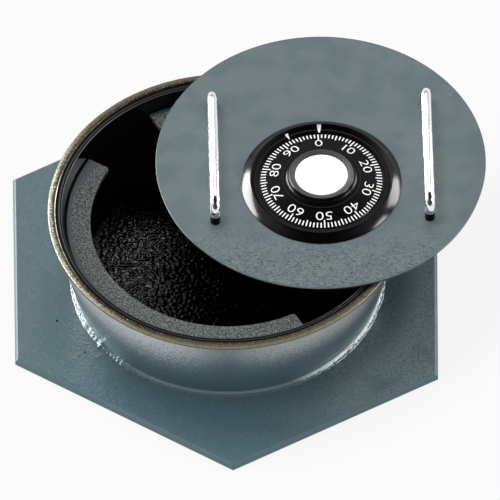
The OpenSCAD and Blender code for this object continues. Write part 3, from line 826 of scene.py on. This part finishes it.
@dataclass(frozen=True)
class BasePlate:
    """The hexagonal plate, with a few paint specks on it, each given by its x, y and radius."""

    thickness: float = 4.5
    bevel: float = 1.6
    edge_round: float = 0.6
    inside_r: float = 90.0
    directions: int = 720
    speck_h: float = 0.4
    speck_places: tuple[tuple[float, float, float], ...] = (
        (-104.0, -36.0, 0.8),
        (-87.0, -61.0, 0.6),
        (-90.0, -64.0, 0.5),
        (-78.0, -47.0, 0.4),
    )

    def build(self) -> None:
        """Build the plate on a grid of directions and insets, and its specks.

        The rows run from the middle of the top over the edge's rounded profile to the middle below.
        """
        corners = flat_corners("base_plate")
        even = np.linspace(-np.pi, np.pi, self.directions, endpoint=False)
        angle = np.sort(np.concatenate([even, np.arctan2(corners[:, 1], corners[:, 0])]))
        top, bevel, soft = self.thickness, self.bevel, self.edge_round
        flat = bevel * 3
        edge = rounded(
            np.array(
                [[flat, top, 0], [bevel, top, soft], [0, top - bevel, soft], [0, 0, soft], [flat, 0, 0]]
            )
        )
        middle = np.zeros((1, len(angle), 3))
        inside = polar(angle, self.inside_r, top)[None]
        outlines = np.stack([self._outline(corners, angle, inset, z) for inset, z in edge])
        rows = np.concatenate([middle + [0, 0, top], inside, outlines, middle])
        faces = grid_faces(len(rows), len(angle), False)
        # Two rows inside the bowl, the first corner's points, and one row of the bevel's upper round
        edge_row = 2 + (ROUND_STEPS + 1) + 1
        finishes = [PLATE_ENAMEL, FLOOR_ENAMEL, PLATE_EDGE]
        enamel, floor, border = range(len(finishes))
        slots = np.full(len(faces), enamel)
        slots[: len(angle)] = floor
        slots[edge_row * len(angle) :] = border
        piece = mesh_piece("plate", Place().to_frame(rows), faces, finishes, slots, sharp_deg=40)
        settle(piece, Body.SAFE, "plate_paint", "base_plate")
        self._specks()

    def _outline(self, corners: Array, angle: Array, inset: float, z: float) -> Array:
        """One ring of the plate: the nearest of the six straight sides in each direction, moved inwards.

        Args:
            corners: (6, 2) corners of the plate.
            angle: (n,) directions.
            inset: how far the sides move inwards.
            z: the ring's height.

        Returns:
            (n, 3) points in millimetres.
        """
        along = np.roll(corners, -1, 0) - corners
        normal = np.stack([along[:, 1], -along[:, 0]], 1)
        normal /= np.linalg.norm(normal, axis=1)[:, None]
        offset = (normal * corners).sum(1) - inset
        facing = np.stack([np.cos(angle), np.sin(angle)], 1) @ normal.T
        tiny = 1e-6
        reach = np.where(facing > tiny, offset / np.maximum(facing, tiny), np.inf).min(1)
        return polar(angle, reach, z)

    def _specks(self) -> None:
        """Build the dark specks of paint: low domes, each a grid of rings."""
        turn = np.linspace(0, 2 * np.pi, 12, endpoint=False)
        lift = np.linspace(0, np.pi / 2, 5)[:, None]
        dome = polar(turn, np.cos(lift), self.speck_h * np.sin(lift))
        points = [dome * r + np.array([x, y, self.thickness]) for x, y, r in self.speck_places]
        faces = grid_faces(len(lift), len(turn), False)
        shift = np.arange(len(points))[:, None, None] * len(lift) * len(turn)
        every = (faces[None] + shift).reshape(-1, 4)
        piece = mesh_piece("plate_specks", Place().to_frame(np.stack(points)), every, [STEP_ENAMEL])
        settle(piece, Body.SAFE, "plate_paint")


@dataclass(frozen=True)
class Bowl:
    """The bowl's wall, its bare rim, the weld at its foot and the two locking ledges."""

    wall: float = 6.4
    seam: float = 0.45
    worn: float = 0.5
    land: float = 4.8
    step: float = 0.8
    score: float = 0.5
    score_deep: float = 0.3
    score_in: float = 0.15
    rim_edge: float = 0.5
    line: tuple[float, float, float] = (1.0, 1.4, 2.5)
    line_deep: float = 0.25
    weld_w: float = 3.7
    weld_h: float = 3.2
    weld_full: float = 0.84
    weld_uneven: float = 0.05
    weld_calm: float = 0.8
    weld_bulge: float = 0.30
    weld_ridges: float = 0.26
    weld_root: float = 0.3
    lump_deg: float = 216.4
    lump_reach: float = 0.013
    lump_size: float = 0.3
    ledge_edge: float = 0.6

    def build(self) -> None:
        """Build every piece of the bowl."""
        low, high = (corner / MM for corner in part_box("body_shell"))
        rim_low, rim_high = (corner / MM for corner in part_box("rim_ring"))
        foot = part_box("base_weld")[1].x / MM - self.weld_w
        self._shell(low.z, high.z, foot, high.x)
        self._rim(rim_low.z, rim_high.z, rim_high.x, high.x - self.wall)
        self._weld(low.z, foot, (high.x - foot) / (high.z - low.z))
        for node in ("front_ledge", "rear_ledge"):
            piece = merged_copy(node, LEDGE_ENAMEL, self.ledge_edge)
            settle(piece, Body.SAFE, "ledge_paint", node)

    def _shell(self, low: float, high: float, foot: float, top: float) -> None:
        """Build the tapered wall: a closed profile, enamelled outside and darker inside.

        Args:
            low: height of its foot.
            high: height of its top.
            foot: outer radius at the foot.
            top: outer radius at the top.
        """
        levels = np.linspace(0, 1, 25)
        outside = np.column_stack([foot + (top - foot) * levels, low + (high - low) * levels])
        inside = outside[::-1] - [self.wall, 0]
        sides = np.repeat([0, 1], len(levels))
        profile = np.vstack([outside, inside])
        piece = lathe("wall", profile, Place(), [WALL_ENAMEL, INNER_ENAMEL], sides)
        settle(piece, Body.SAFE, "body_paint", "body_shell")

    def _rim(self, low: float, high: float, outer: float, inner: float) -> None:
        """Build the rim: a bare land with a turned line, and a dark step inside it with a scored line.

        Args:
            low: height of the ring's underside.
            high: height of the land.
            outer: outer radius.
            inner: inner radius at the underside.
        """
        finishes = [RIM_STEEL, STEP_ENAMEL, SEAM_DARK, STEP_BORE_HIGHLIGHT, STEP_SCORE, RIM_FACE]
        steel, step, seam_slot, worn, score, face = range(len(finishes))
        edge, land, floor = self.rim_edge, outer - self.land, high - self.step
        middle = (inner + land) / 2 - self.score_in
        # Each corner's radius, height and round, and the finish from there to the next corner
        corners = (
            (inner, low, 0, seam_slot),
            (outer, low, 0, seam_slot),
            (outer, low + self.seam, 0, face),
            (outer, high - edge, 0.3, face),
            (outer - edge, high, 0.2, steel),
            (outer - self.line[0], high, 0.1, steel),
            (outer - self.line[1], high - self.line_deep, 0.1, steel),
            (outer - self.line[2], high, 0.4, steel),
            (land + edge, high, 0.3, steel),
            (land, high - edge, 0.2, step),
            (land, floor, 0.1, step),
            (middle + self.score, floor, 0.1, score),
            (middle, floor - self.score_deep, 0.1, score),
            (middle - self.score, floor, 0.1, step),
            (inner + self.worn, floor, 0, worn),
            (inner, floor - edge, 0, step),
        )
        table = np.array(corners)
        sides = np.repeat(table[:, 3], ROUND_STEPS + 1)
        piece = lathe("rim", rounded(table[:, :3]), Place(), finishes, sides)
        settle(piece, Body.SAFE, "rim_steel", "rim_ring")

    def _weld(self, low: float, foot: float, lean: float) -> None:
        """Build the weld bead: a band from the plate up to the wall, with two ridges and a valley between.

        With t from the plate to the wall, the ridges are sin(pi t) plus sin(3 pi t), times the bead's
        size. The size has ripples and sways round the bowl, calmer at the front, and one lump. Their
        counts round the bowl are whole, so that the bead closes on itself.

        Args:
            low: height of the plate's top.
            foot: the wall's outer radius at that height.
            lean: how much the wall widens with height.
        """
        angle = np.linspace(0, 2 * np.pi, 900, endpoint=False)[None, :]
        t = np.linspace(0, 1, 17)[:, None]
        uneven = self.weld_uneven * (1 - self.weld_calm * np.maximum(0, -np.sin(angle)) ** 6)
        ripple = np.sin(151 * angle + 2.4 * np.sin(13 * angle) + 1.7 * np.sin(29 * angle) + 1.2 * t)
        sway = np.sin(17 * angle + 2 * np.sin(5 * angle)) + np.sin(41 * angle + 3 * np.sin(7 * angle))
        lump = np.exp(-(((angle - math.radians(self.lump_deg)) / self.lump_reach) ** 2))
        size = self.weld_full + uneven * (ripple + sway) + self.lump_size * lump
        bulge = (self.weld_bulge * np.sin(np.pi * t) + self.weld_ridges * np.sin(3 * np.pi * t)) * size
        up = self.weld_h * size * t + bulge
        out = foot + self.weld_w * size * (1 - t) + bulge + lean * up * t
        root = np.full((1, angle.shape[1]), foot - self.weld_root)
        points = polar(angle, np.concatenate([root, out]), np.concatenate([root * 0, up]) + low)
        faces = grid_faces(len(points), angle.shape[1], True)
        piece = mesh_piece("weld_bead", Place().to_frame(points), faces, [WELD_ENAMEL], sharp_deg=60)
        settle(piece, Body.SAFE, "weld_paint", "base_weld")


# The lid and its handles


@dataclass(frozen=True)
class LiftHandles:
    """The two chromed rods: legs, bends and grip."""

    rod: float = 6.4
    pitch: float = 130.6
    reach: float = 92.0
    rise: float = 13.5
    bend: float = 7.0

    def build(self, lid: Place) -> None:
        """Build both handles on the lid.

        Args:
            lid: the lid's axis, on its top face.
        """
        for side, node in ((-1, "left_handle"), (1, "right_handle")):
            piece = self._rod(node + "_rod", lid, side * self.pitch / 2)
            # A rod's image would split the highlight that runs round the dial ring
            piece.visible_glossy = False
            settle(piece, Body.LID, "handle_chrome", node)

    def _rod(self, name: str, lid: Place, x: float) -> bpy.types.Object:
        """One rod: a circle carried along a line that goes up, bends, runs back and comes down.

        Args:
            name: the piece's name.
            lid: the lid's axis, on its top face.
            x: the rod's place across the lid.

        Returns:
            The new object.
        """
        half, up = self.reach / 2, self.rise - self.bend
        arc = np.linspace(0, np.pi / 2, 17)
        near = np.column_stack([self.bend * (1 - np.cos(arc)) - half, up + self.bend * np.sin(arc)])
        line = np.vstack([[-half, 0], near, (near * [-1, 1])[::-1], [half, 0]])
        heading = np.gradient(line, axis=0)
        heading[[0, -1]] = [[0, 1], [0, -1]]
        heading /= np.linalg.norm(heading, axis=1)[:, None]
        turn = np.linspace(0, 2 * np.pi, 48, endpoint=False)
        across, out = np.cos(turn) * self.rod / 2, np.sin(turn) * self.rod / 2
        y = line[:, :1] - heading[:, 1:] * out
        z = line[:, 1:] + heading[:, :1] * out
        tube = np.stack(np.broadcast_arrays(x + across, y, z), -1)
        caps = [np.tile([x, end, 0.0], (1, len(turn), 1)) for end in (-half, half)]
        points = np.concatenate([caps[0], tube, caps[1]])
        faces = grid_faces(len(points), len(turn), False)
        return mesh_piece(name, lid.to_frame(points), faces, [CHROME], sharp_deg=50)


@dataclass(frozen=True)
class Lid:
    """The round lid plate and the lugs under it."""

    edge: float = 0.35
    lug_edge: float = 0.8
    level_z: float = 0.98

    def build(self) -> None:
        """Build the plate and the lugs from their CAD nodes. Faces that aren't level are the lid's side."""
        piece = merged_copy("lid_plate", LID_ENAMEL, self.edge)
        line, side = 1, 2
        for finish in (LID_SHADE_LINE, LID_SIDE_PAINTED_LIGHT):
            piece.data.materials.append(finish.material())
        piece.modifiers["edge"].material = line
        for face in piece.data.polygons:
            if abs(face.normal.z) < self.level_z:
                face.material_index = side
        settle(piece, Body.LID, "lid_paint", "lid_plate")
        for node in ("left_lug", "right_lug"):
            settle(merged_copy(node, LID_ENAMEL, self.lug_edge), Body.LID, "lid_paint", node)


# The dial


@dataclass(frozen=True)
class Marks:
    """Flat marks of white ink that point at an axis and follow a turned surface."""

    angle: Array
    inner: Array
    outer: Array
    inner_w: Array
    outer_w: Array
    steps: int = 2
    ink: float = INK

    def build(self, name: str, axis: Place, surface: Surface) -> bpy.types.Object:
        """Build the marks: for each, a thin slab from inner to outer radius on the surface's height.

        Args:
            name: the piece's name.
            axis: the axis that the marks point at.
            surface: the height of the surface at a radius.

        Returns:
            The new object.
        """
        s = np.linspace(0, 1, self.steps)[None, :, None]
        side = np.array([-0.5, 0.5, 0.5, -0.5])
        level = np.array([-1.0, -1.0, 1.0, 1.0])
        angle, inner, outer, inner_w, outer_w = (
            v[:, None, None] for v in (self.angle, self.inner, self.outer, self.inner_w, self.outer_w)
        )
        along = inner + (outer - inner) * s + 0 * side
        across = (inner_w + (outer_w - inner_w) * s) * side
        points = polar(angle, along, surface(along) + level * self.ink, across)
        tube = grid_faces(self.steps, 4, False)
        last = 4 * (self.steps - 1)
        ends = np.array([[3, 2, 1, 0], [last, last + 1, last + 2, last + 3]])
        one = np.concatenate([tube, ends])
        shift = np.arange(len(self.angle))[:, None, None] * 4 * self.steps
        faces = (one[None] + shift).reshape(-1, 4)
        return mesh_piece(name, axis.to_frame(points), faces, [INK_WHITE], sharp_deg=20)


@dataclass(frozen=True)
class DialRing:
    """The fixed ring round the dial, with its two white index marks."""

    outer: float = 48.8
    bore: float = 38.3
    lip: float = 40.2
    lip_w: float = 1.2
    crest_lean: float = 1.8
    crest_round: float = 0.3
    height: float = 4.6
    lip_h: float = 2.0
    low_h: float = 1.6
    groove: float = 0.4
    edge_h: float = 0.6
    bow_deg: float = 8.0
    index_deg: tuple[float, float] = (91.9, 120.3)
    index_in: tuple[float, float] = (38.8, 38.5)
    index_out: tuple[float, float] = (42.9, 42.2)
    index_in_w: tuple[float, float] = (1.0, 0.3)
    index_out_w: tuple[float, float] = (2.6, 2.1)
    index_ink: float = 0.12

    def crown(self) -> Array:
        """Work out the ring's upper profile, from the bore outwards.

        It goes up a bevel to the thin lip, up the steep inner wall to the crest, and down the flank,
        which is an arc that turns by twice the bow.

        Returns:
            (k, 2) radii and heights.
        """
        inner = self.lip + self.lip_w
        crest = inner + self.crest_lean
        run, rise = self.outer - crest, self.height - self.edge_h
        bow = math.radians(self.bow_deg)
        tilt = math.atan2(rise, run) + np.linspace(-bow, bow, 21)
        reach = math.hypot(run, rise) / 2 / math.sin(bow)
        flank = np.column_stack([np.sin(tilt), np.cos(tilt)]) * reach
        flank += [crest, self.height] - flank[0]
        soft = self.crest_round
        corners = np.array(
            [
                [self.bore, self.low_h, 0],
                [self.lip, self.lip_h, 0.3],
                [inner, self.lip_h, 0.2],
                [inner, self.lip_h - self.groove, 0.05],
                [crest - soft, self.height - soft, soft],
                [*flank[1], 0],
            ]
        )
        return np.vstack([rounded(corners)[: -(ROUND_STEPS + 1)], flank[1:]])

    def surface(self, radius: Array) -> Array:
        """Height of the ring's upper surface at a radius. Radii that repeat are told apart by a hair."""
        crown = self.crown()
        return np.interp(radius, crown[:, 0] + np.arange(len(crown)) * 1e-9, crown[:, 1])

    def build(self, axis: Place) -> None:
        """Build the ring and its index marks.

        Args:
            axis: the dial's axis, on the lid's top face.
        """
        profile = np.vstack([[[self.bore, 0]], self.crown(), [[self.outer, 0]]])
        middle = (profile + np.roll(profile, -1, 0)) / 2
        radius, is_above = middle[:, 0], middle[:, 1] > self.low_h / 2
        inner, near = self.lip + self.lip_w, 0.1
        is_wall = (radius > inner + near / 2) & (radius < inner + self.crest_lean - near)
        is_lip = (radius > self.lip - near) & (radius < inner)
        finishes = [RING_BLACK, RING_WALL, RING_LIP]
        body, wall, lip = range(len(finishes))
        sides = np.where(is_wall & is_above, wall, np.where(is_lip & is_above, lip, body))
        piece = lathe("dial_ring_body", profile, axis, finishes, sides)
        settle(piece, Body.LID, "ring_black", "dial_ring")
        index = Marks(
            angle=np.radians(self.index_deg),
            inner=np.array(self.index_in),
            outer=np.array(self.index_out),
            inner_w=np.array(self.index_in_w),
            outer_w=np.array(self.index_out_w),
            steps=64,
            ink=self.index_ink,
        )
        settle(index.build("index_marks", axis, self.surface), Body.LID, "disc_white")


@dataclass(frozen=True)
class Dial:
    """The turning dial with its flared knob, its blank disc, its hundred ticks and its numerals."""

    gap: float = 0.5
    radius: float = 37.8
    face_h: float = 1.6
    edge: float = 0.3
    foot_r: float = 24.1
    cone_h: float = 2.5
    foot_edge: float = 0.5
    waist_r: float = 20.3
    flare_h: float = 2.0
    top_r: float = 20.0
    top_edge: float = 0.5
    height: float = 8.4
    dish: float = 0.8
    line_w: float = 0.4
    line_deep: float = 0.5
    disc_r: float = 16.1
    disc_t: float = 1.2
    disc_fit: float = 0.05
    disc_edge: float = 0.25
    zero_deg: float = 93.2
    ticks: int = 100
    tick_out: float = 37.2
    tick_in: float = 33.9
    half_in: float = 33.1
    long_in: float = 32.0
    tick_w: float = 0.85
    tick_taper: float = 0.92
    numeral_r: float = 29.1
    numeral_w: float = 4.65
    numeral_h: float = 5.6
    ten_on: float = 1.3

    def build(self, axis: Place) -> None:
        """Build the dial and what is printed on it.

        Args:
            axis: the dial's axis, on the lid's top face.
        """
        self._knob(axis)
        settle(self._disc(axis), Body.DIAL, "disc_white", "knob_disc")
        self._ticks(axis)
        self._numerals(axis)

    def face(self, radius: Array) -> Array:
        """Height of the dial's cone at a radius."""
        ends = [self.foot_r, self.radius - self.edge]
        return np.interp(radius, ends, [self.face_h + self.cone_h, self.face_h])

    def _knob(self, axis: Place) -> None:
        """Build the dial: cone, quarter-round flare, straight side, dished top and the disc's seat.

        Args:
            axis: the dial's axis, on the lid's top face.
        """
        foot_h = self.face_h + self.cone_h + self.foot_edge
        disc_top = self.height - self.dish
        cone = np.array(
            [
                [0, self.gap],
                [self.radius, self.gap],
                [self.radius, self.face_h - self.edge],
                [self.radius - self.edge, self.face_h],
                [self.foot_r, self.face_h + self.cone_h],
            ]
        )
        turn = np.linspace(0, np.pi / 2, 17)
        flare_r = self.foot_r - (self.foot_r - self.waist_r) * np.sin(turn)
        flare = np.column_stack([flare_r, foot_h + self.flare_h * (1 - np.cos(turn))])
        seat = self.disc_r + self.disc_fit
        top = np.array(
            [
                [self.waist_r, foot_h + self.flare_h, 0],
                [self.top_r, self.height - self.top_edge, 0.15],
                [self.top_r - self.top_edge, self.height, 0.15],
                [seat + self.line_w, disc_top, 0.05],
                [seat + self.line_w, disc_top - self.line_deep, 0],
                [seat, disc_top - self.line_deep, 0],
                [seat, disc_top - self.disc_t, 0],
                [0, disc_top - self.disc_t, 0],
            ]
        )
        profile = np.vstack([cone, flare, rounded(top)])
        middle = (profile[1:] + profile[:-1]) / 2
        hair = 0.01
        is_top = (middle[:, 0] < self.top_r - self.top_edge / 2) & (middle[:, 1] > disc_top - hair)
        is_flare = (middle[:, 0] <= self.foot_r) & (middle[:, 1] > foot_h - self.foot_edge) & ~is_top
        finishes = [DIAL_BLACK, KNOB_BLACK, KNOB_GREY]
        dial, knob, knob_top = range(len(finishes))
        sides = np.where(is_top, knob_top, np.where(is_flare, knob, dial))
        piece = lathe("dial_body", profile, axis, finishes, sides, closed=False)
        settle(piece, Body.DIAL, "dial_black", "dial")

    def _disc(self, axis: Place) -> bpy.types.Object:
        """Build the bare white disc, with a fine rounded edge.

        Args:
            axis: the dial's axis, on the lid's top face.

        Returns:
            The new object.
        """
        high = self.height - self.dish
        low = high - self.disc_t
        corners = [[0, low, 0], [self.disc_r, low, 0], [self.disc_r, high, self.disc_edge], [0, high, 0]]
        profile = rounded(np.array(corners))
        return lathe("knob_disc_face", profile, axis, [DISC_WHITE], closed=False)

    def _ticks(self, axis: Place) -> None:
        """Build a hundred ticks, of which each fifth is longer and each tenth longest.

        Args:
            axis: the dial's axis, on the lid's top face.
        """
        number = np.arange(self.ticks)
        full = np.ones(self.ticks)
        inner = np.where(number % 5 == 0, self.half_in, self.tick_in)
        ticks = Marks(
            angle=np.radians(self.zero_deg - number * 360 / self.ticks),
            inner=np.where(number % 10 == 0, self.long_in, inner),
            outer=full * self.tick_out,
            inner_w=full * self.tick_w * self.tick_taper,
            outer_w=full * self.tick_w,
        )
        settle(ticks.build("dial_ticks", axis, self.face), Body.DIAL, "dial_black")

    def _numerals(self, axis: Place) -> None:
        """Build the numerals 0 to 90, clockwise, with their tops outwards.

        Args:
            axis: the dial's axis, on the lid's top face.
        """
        zero, _ = numeral_arrays("0")
        stretch = np.array([self.numeral_w, self.numeral_h]) / np.ptp(zero[:, :2], axis=0)
        parts, faces, count = [], [], 0
        for number in range(0, self.ticks, 10):
            flat, outlines = numeral_arrays(str(number))
            xy = (flat[:, :2] - (flat[:, :2].min(0) + flat[:, :2].max(0)) / 2) * stretch
            if number == 10:
                # On the real dial the 10 is printed a little further on than its tick
                xy[:, 0] += self.ten_on
            angle = math.radians(self.zero_deg - number * 360 / self.ticks)
            along, across = self.numeral_r + xy[:, 1], -xy[:, 0]
            height = self.face(np.hypot(along, across)) + np.where(flat[:, 2] > 0, INK, -INK)
            parts.append(polar(angle, along, height, across))
            faces += [[i + count for i in outline] for outline in outlines]
            count += len(flat)
        mesh = bpy.data.meshes.new("dial_numerals")
        mesh.from_pydata(axis.to_frame(np.vstack(parts)).tolist(), [], faces)
        mesh.materials.append(INK_WHITE.material())
        settle(add_object("dial_numerals", mesh, sharp_deg=None), Body.DIAL, "dial_black")


def numeral_arrays(text: str) -> tuple[Array, list[list[int]]]:
    """Make the mesh of one numeral from the built-in font, as a thin slab about z = 0.

    Args:
        text: the numeral. The figures of 10 stand closer than the rest.

    Returns:
        Its vertices (n, 3) and its faces.
    """
    curve = bpy.data.curves.new("numeral", "FONT")
    curve.body = text
    curve.size = 1.0
    curve.extrude = 0.01
    curve.resolution_u = 4
    curve.space_character = TEN_SPACE if text == "10" else FIGURE_SPACE
    curve.offset = -FIGURE_THIN
    holder = bpy.data.objects.new("numeral", curve)
    bpy.context.scene.collection.objects.link(holder)
    depsgraph = bpy.context.evaluated_depsgraph_get()
    mesh = bpy.data.meshes.new_from_object(holder.evaluated_get(depsgraph))
    vertices = np.array([v.co for v in mesh.vertices])
    faces = [list(p.vertices) for p in mesh.polygons]
    bpy.data.objects.remove(holder)
    bpy.data.meshes.remove(mesh)
    bpy.data.curves.remove(curve)
    return vertices, faces


# The lock under the lid


@dataclass(frozen=True)
class Lock:
    """The lock under the lid and every fixing: the CAD solids, smooth-shaded, with bevelled edges."""

    case_edge: float = 0.6
    part_edge: float = 0.15

    def build(self, record: dict) -> None:
        """Build the case, its fixings and the moving parts in it: every node that has one of their slots.

        Args:
            record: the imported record.
        """
        looks = {
            "case_zinc": (CAST_ZINC, self.case_edge),
            "lock_brass": (BRASS, self.part_edge),
            "fastener_steel": (ZINC_PLATE, 0.0),
        }
        bodies = record["behaviour"]["bodies"]
        body_of = {node: Body(name) for name, nodes in bodies.items() for node in nodes}
        for slot, (finish, edge) in looks.items():
            for part in record["subparts"]:
                if part["material_slot"] == slot:
                    node = part["node"]
                    settle(merged_copy(node, finish, edge), body_of[node], slot, node)


# The studio


@dataclass(frozen=True)
class SoftBox:
    """A rectangular lamp that faces the safe. Level is its brightness, where white paper is about 1."""

    name: str
    azimuth_deg: float
    elevation_deg: float
    width: float
    height: float
    level: float
    lights: bool
    shines: bool


@dataclass(frozen=True)
class Studio:
    """White floor, even world light, softboxes and the camera.

    Three softboxes light the safe. The panels only shine in its glossy surfaces, as reflectors do.
    """

    azimuth_deg: float = -90.0
    elevation_deg: float = 49.9
    distance: float = 14.2
    lens: float = 1681.0
    sensor: float = 36.0
    clip: tuple[float, float] = (0.1, 100.0)
    aim: tuple[float, float, float] = (0.01375, -0.0318, 0.0665)
    floor_radius: float = 40.0
    floor_drop: float = 0.05
    floor_paper: float = 0.9
    floor_glow: float = 0.95
    floor_share: float = 0.9
    world_level: float = 0.85
    box_distance: float = 2.2
    box_aim: tuple[float, float, float] = (0.0, 0.0, 0.07)
    boxes: tuple[SoftBox, ...] = (
        SoftBox("key", 138, 62, 0.8, 0.8, 8.2, lights=True, shines=False),
        SoftBox("side", 172, 24, 1.4, 0.8, 2.5, lights=True, shines=False),
        SoftBox("back", 88, 50, 0.9, 0.5, 3.0, lights=True, shines=True),
        SoftBox("panel_left", 154, 20, 1.8, 0.95, 45.0, lights=False, shines=True),
        SoftBox("panel_right", 29, 22, 1.0, 0.9, 24.0, lights=False, shines=True),
        SoftBox("panel_front", -8, 22, 0.65, 0.9, 24.0, lights=False, shines=True),
    )

    def build(self) -> None:
        """Build the stage, the lights and the camera."""
        self._floor()
        self._world()
        for box in self.boxes:
            self._lamp(box)
        self._camera()
        bpy.context.scene.view_settings.view_transform = "Standard"

    def _floor(self) -> None:
        """Lay the white floor, which stays white to the eye and keeps a faint shadow.

        Camera and glossy rays see mostly its glow. The rest see white paper.
        """
        flat = np.array([[0, -self.floor_drop], [self.floor_radius / MM, -self.floor_drop]])
        floor = lathe("floor", flat, Place(), [Finish("floor_white", "#ffffff", 1.0)], closed=False)
        tree = floor.data.materials[0].node_tree
        tree.nodes.clear()
        path = add_node(tree, "ShaderNodeLightPath").outputs
        links = {0: path["Is Camera Ray"], 1: path["Is Glossy Ray"]}
        seen = add_node(tree, "ShaderNodeMath", {"operation": "MAXIMUM"}, links).outputs["Value"]
        settings = {"operation": "MULTIPLY", 1: self.floor_share}
        share = add_node(tree, "ShaderNodeMath", settings, {0: seen}).outputs["Value"]
        paper = add_node(tree, "ShaderNodeBsdfDiffuse", {"Color": (*(self.floor_paper,) * 3, 1)})
        glow = add_node(tree, "ShaderNodeEmission", {"Color": (1, 1, 1, 1), "Strength": self.floor_glow})
        links = {0: share, 1: paper.outputs["BSDF"], 2: glow.outputs["Emission"]}
        mix = add_node(tree, "ShaderNodeMixShader", links=links)
        add_node(tree, "ShaderNodeOutputMaterial", links={"Surface": mix.outputs["Shader"]})

    def _world(self) -> None:
        """Light evenly from all round, and show white to the camera.

        Glossy surfaces see a sky that goes dark overhead and in front, and is dimmer in the middle and
        far to the right. Down to the horizon and below, it is white.
        """
        world = bpy.data.worlds.new("studio")
        bpy.context.scene.world = world
        world.use_nodes = True
        tree = world.node_tree
        tree.nodes.clear()
        ray = add_node(tree, "ShaderNodeTexCoord").outputs["Generated"]
        axes = add_node(tree, "ShaderNodeSeparateXYZ", links={"Vector": ray}).outputs
        aside = add_node(tree, "ShaderNodeMath", {"operation": "ABSOLUTE"}, {0: axes["X"]}).outputs["Value"]
        low, high, band_low, band_high = (math.sin(math.radians(tilt)) for tilt in (52, 64, 14, 26))
        overhead = Ramp(axes["Z"], low, high, 1.0, 0.04)
        front = Ramp(axes["Y"], -0.55, -0.15, 0.10, 1.0)
        middle = Ramp(aside, 0.25, 0.6, 0.5, 1.0)
        far_right = Ramp(axes["X"], 0.5, 0.9, 1.0, 0.3)
        sky = multiply_ramps(tree, [overhead, front, middle, far_right])
        band = multiply_ramps(tree, [Ramp(axes["Z"], band_low, band_high, 1.0, 0.0)])
        sky = add_node(tree, "ShaderNodeMath", {"operation": "MAXIMUM"}, {0: sky, 1: band}).outputs["Value"]
        path = add_node(tree, "ShaderNodeLightPath").outputs
        settings = {"data_type": "FLOAT", 2: self.world_level}
        level = add_node(tree, "ShaderNodeMix", settings, {0: path["Is Glossy Ray"], 3: sky}).outputs[0]
        settings = {"data_type": "FLOAT", 3: 1.0}
        shown = add_node(tree, "ShaderNodeMix", settings, {0: path["Is Camera Ray"], 2: level}).outputs[0]
        light = add_node(tree, "ShaderNodeBackground", {"Color": (1, 1, 1, 1)}, {"Strength": shown})
        add_node(tree, "ShaderNodeOutputWorld", links={"Surface": light.outputs["Background"]})

    @staticmethod
    def _hang(
        name: str,
        data: bpy.types.ID,
        aim: tuple[float, float, float],
        azimuth_deg: float,
        elevation_deg: float,
        distance: float,
    ) -> bpy.types.Object:
        """Put a lamp or the camera out in one direction from a point, facing it.

        Args:
            name: the object's name.
            data: the lamp or the camera.
            aim: the point, in metres.
            azimuth_deg: direction from the point, from +X towards +Y.
            elevation_deg: height of that direction.
            distance: how far out, in metres.

        Returns:
            The new object.
        """
        tilt = math.radians(elevation_deg)
        away = Vector(polar(math.radians(azimuth_deg), math.cos(tilt), math.sin(tilt)))
        thing = bpy.data.objects.new(name, data)
        thing.location = Vector(aim) + away * distance
        thing.rotation_euler = away.to_track_quat("Z", "Y").to_euler()
        bpy.context.scene.collection.objects.link(thing)
        return thing

    def _lamp(self, box: SoftBox) -> None:
        """Hang one softbox, facing the lid's height above the bowl.

        Args:
            box: the softbox.
        """
        data = bpy.data.lights.new(box.name, "AREA")
        data.shape = "RECTANGLE"
        data.size, data.size_y = box.width, box.height
        data.energy = box.level * math.pi * box.width * box.height
        turn, tilt = box.azimuth_deg, box.elevation_deg
        lamp = self._hang(box.name, data, self.box_aim, turn, tilt, self.box_distance)
        lamp.visible_camera = False
        lamp.visible_diffuse = box.lights
        lamp.visible_glossy = box.shines

    def _camera(self) -> None:
        """Set the long-lens camera at the photograph's height of view."""
        data = bpy.data.cameras.new("camera")
        data.lens, data.sensor_width = self.lens, self.sensor
        data.clip_start, data.clip_end = self.clip
        turn, tilt = self.azimuth_deg, self.elevation_deg
        bpy.context.scene.camera = self._hang("camera", data, self.aim, turn, tilt, self.distance)


def main() -> None:
    """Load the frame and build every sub-assembly."""
    logging.basicConfig(level=logging.INFO, format="%(name)s: %(message)s")
    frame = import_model()
    lid_low, lid_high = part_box("lid_plate")
    dial_low, dial_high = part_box("dial")
    lid_mid, dial_mid = (lid_low + lid_high) / 2, (dial_low + dial_high) / 2
    # The dial lies straight in front of the lid's middle, so the two give the lid's turn
    offset = lid_mid - dial_mid
    yaw = math.atan2(-offset.x, offset.y)
    lid = Place(lid_mid.x, lid_mid.y, lid_high.z, yaw)
    axis = Place(dial_mid.x, dial_mid.y, lid_high.z)
    BasePlate().build()
    Bowl().build()
    Lid().build()
    LiftHandles().build(lid)
    DialRing().build(axis)
    Dial().build(axis)
    Lock().build(frame["record"])
    Studio().build()


if __name__ == "__main__":
    main()
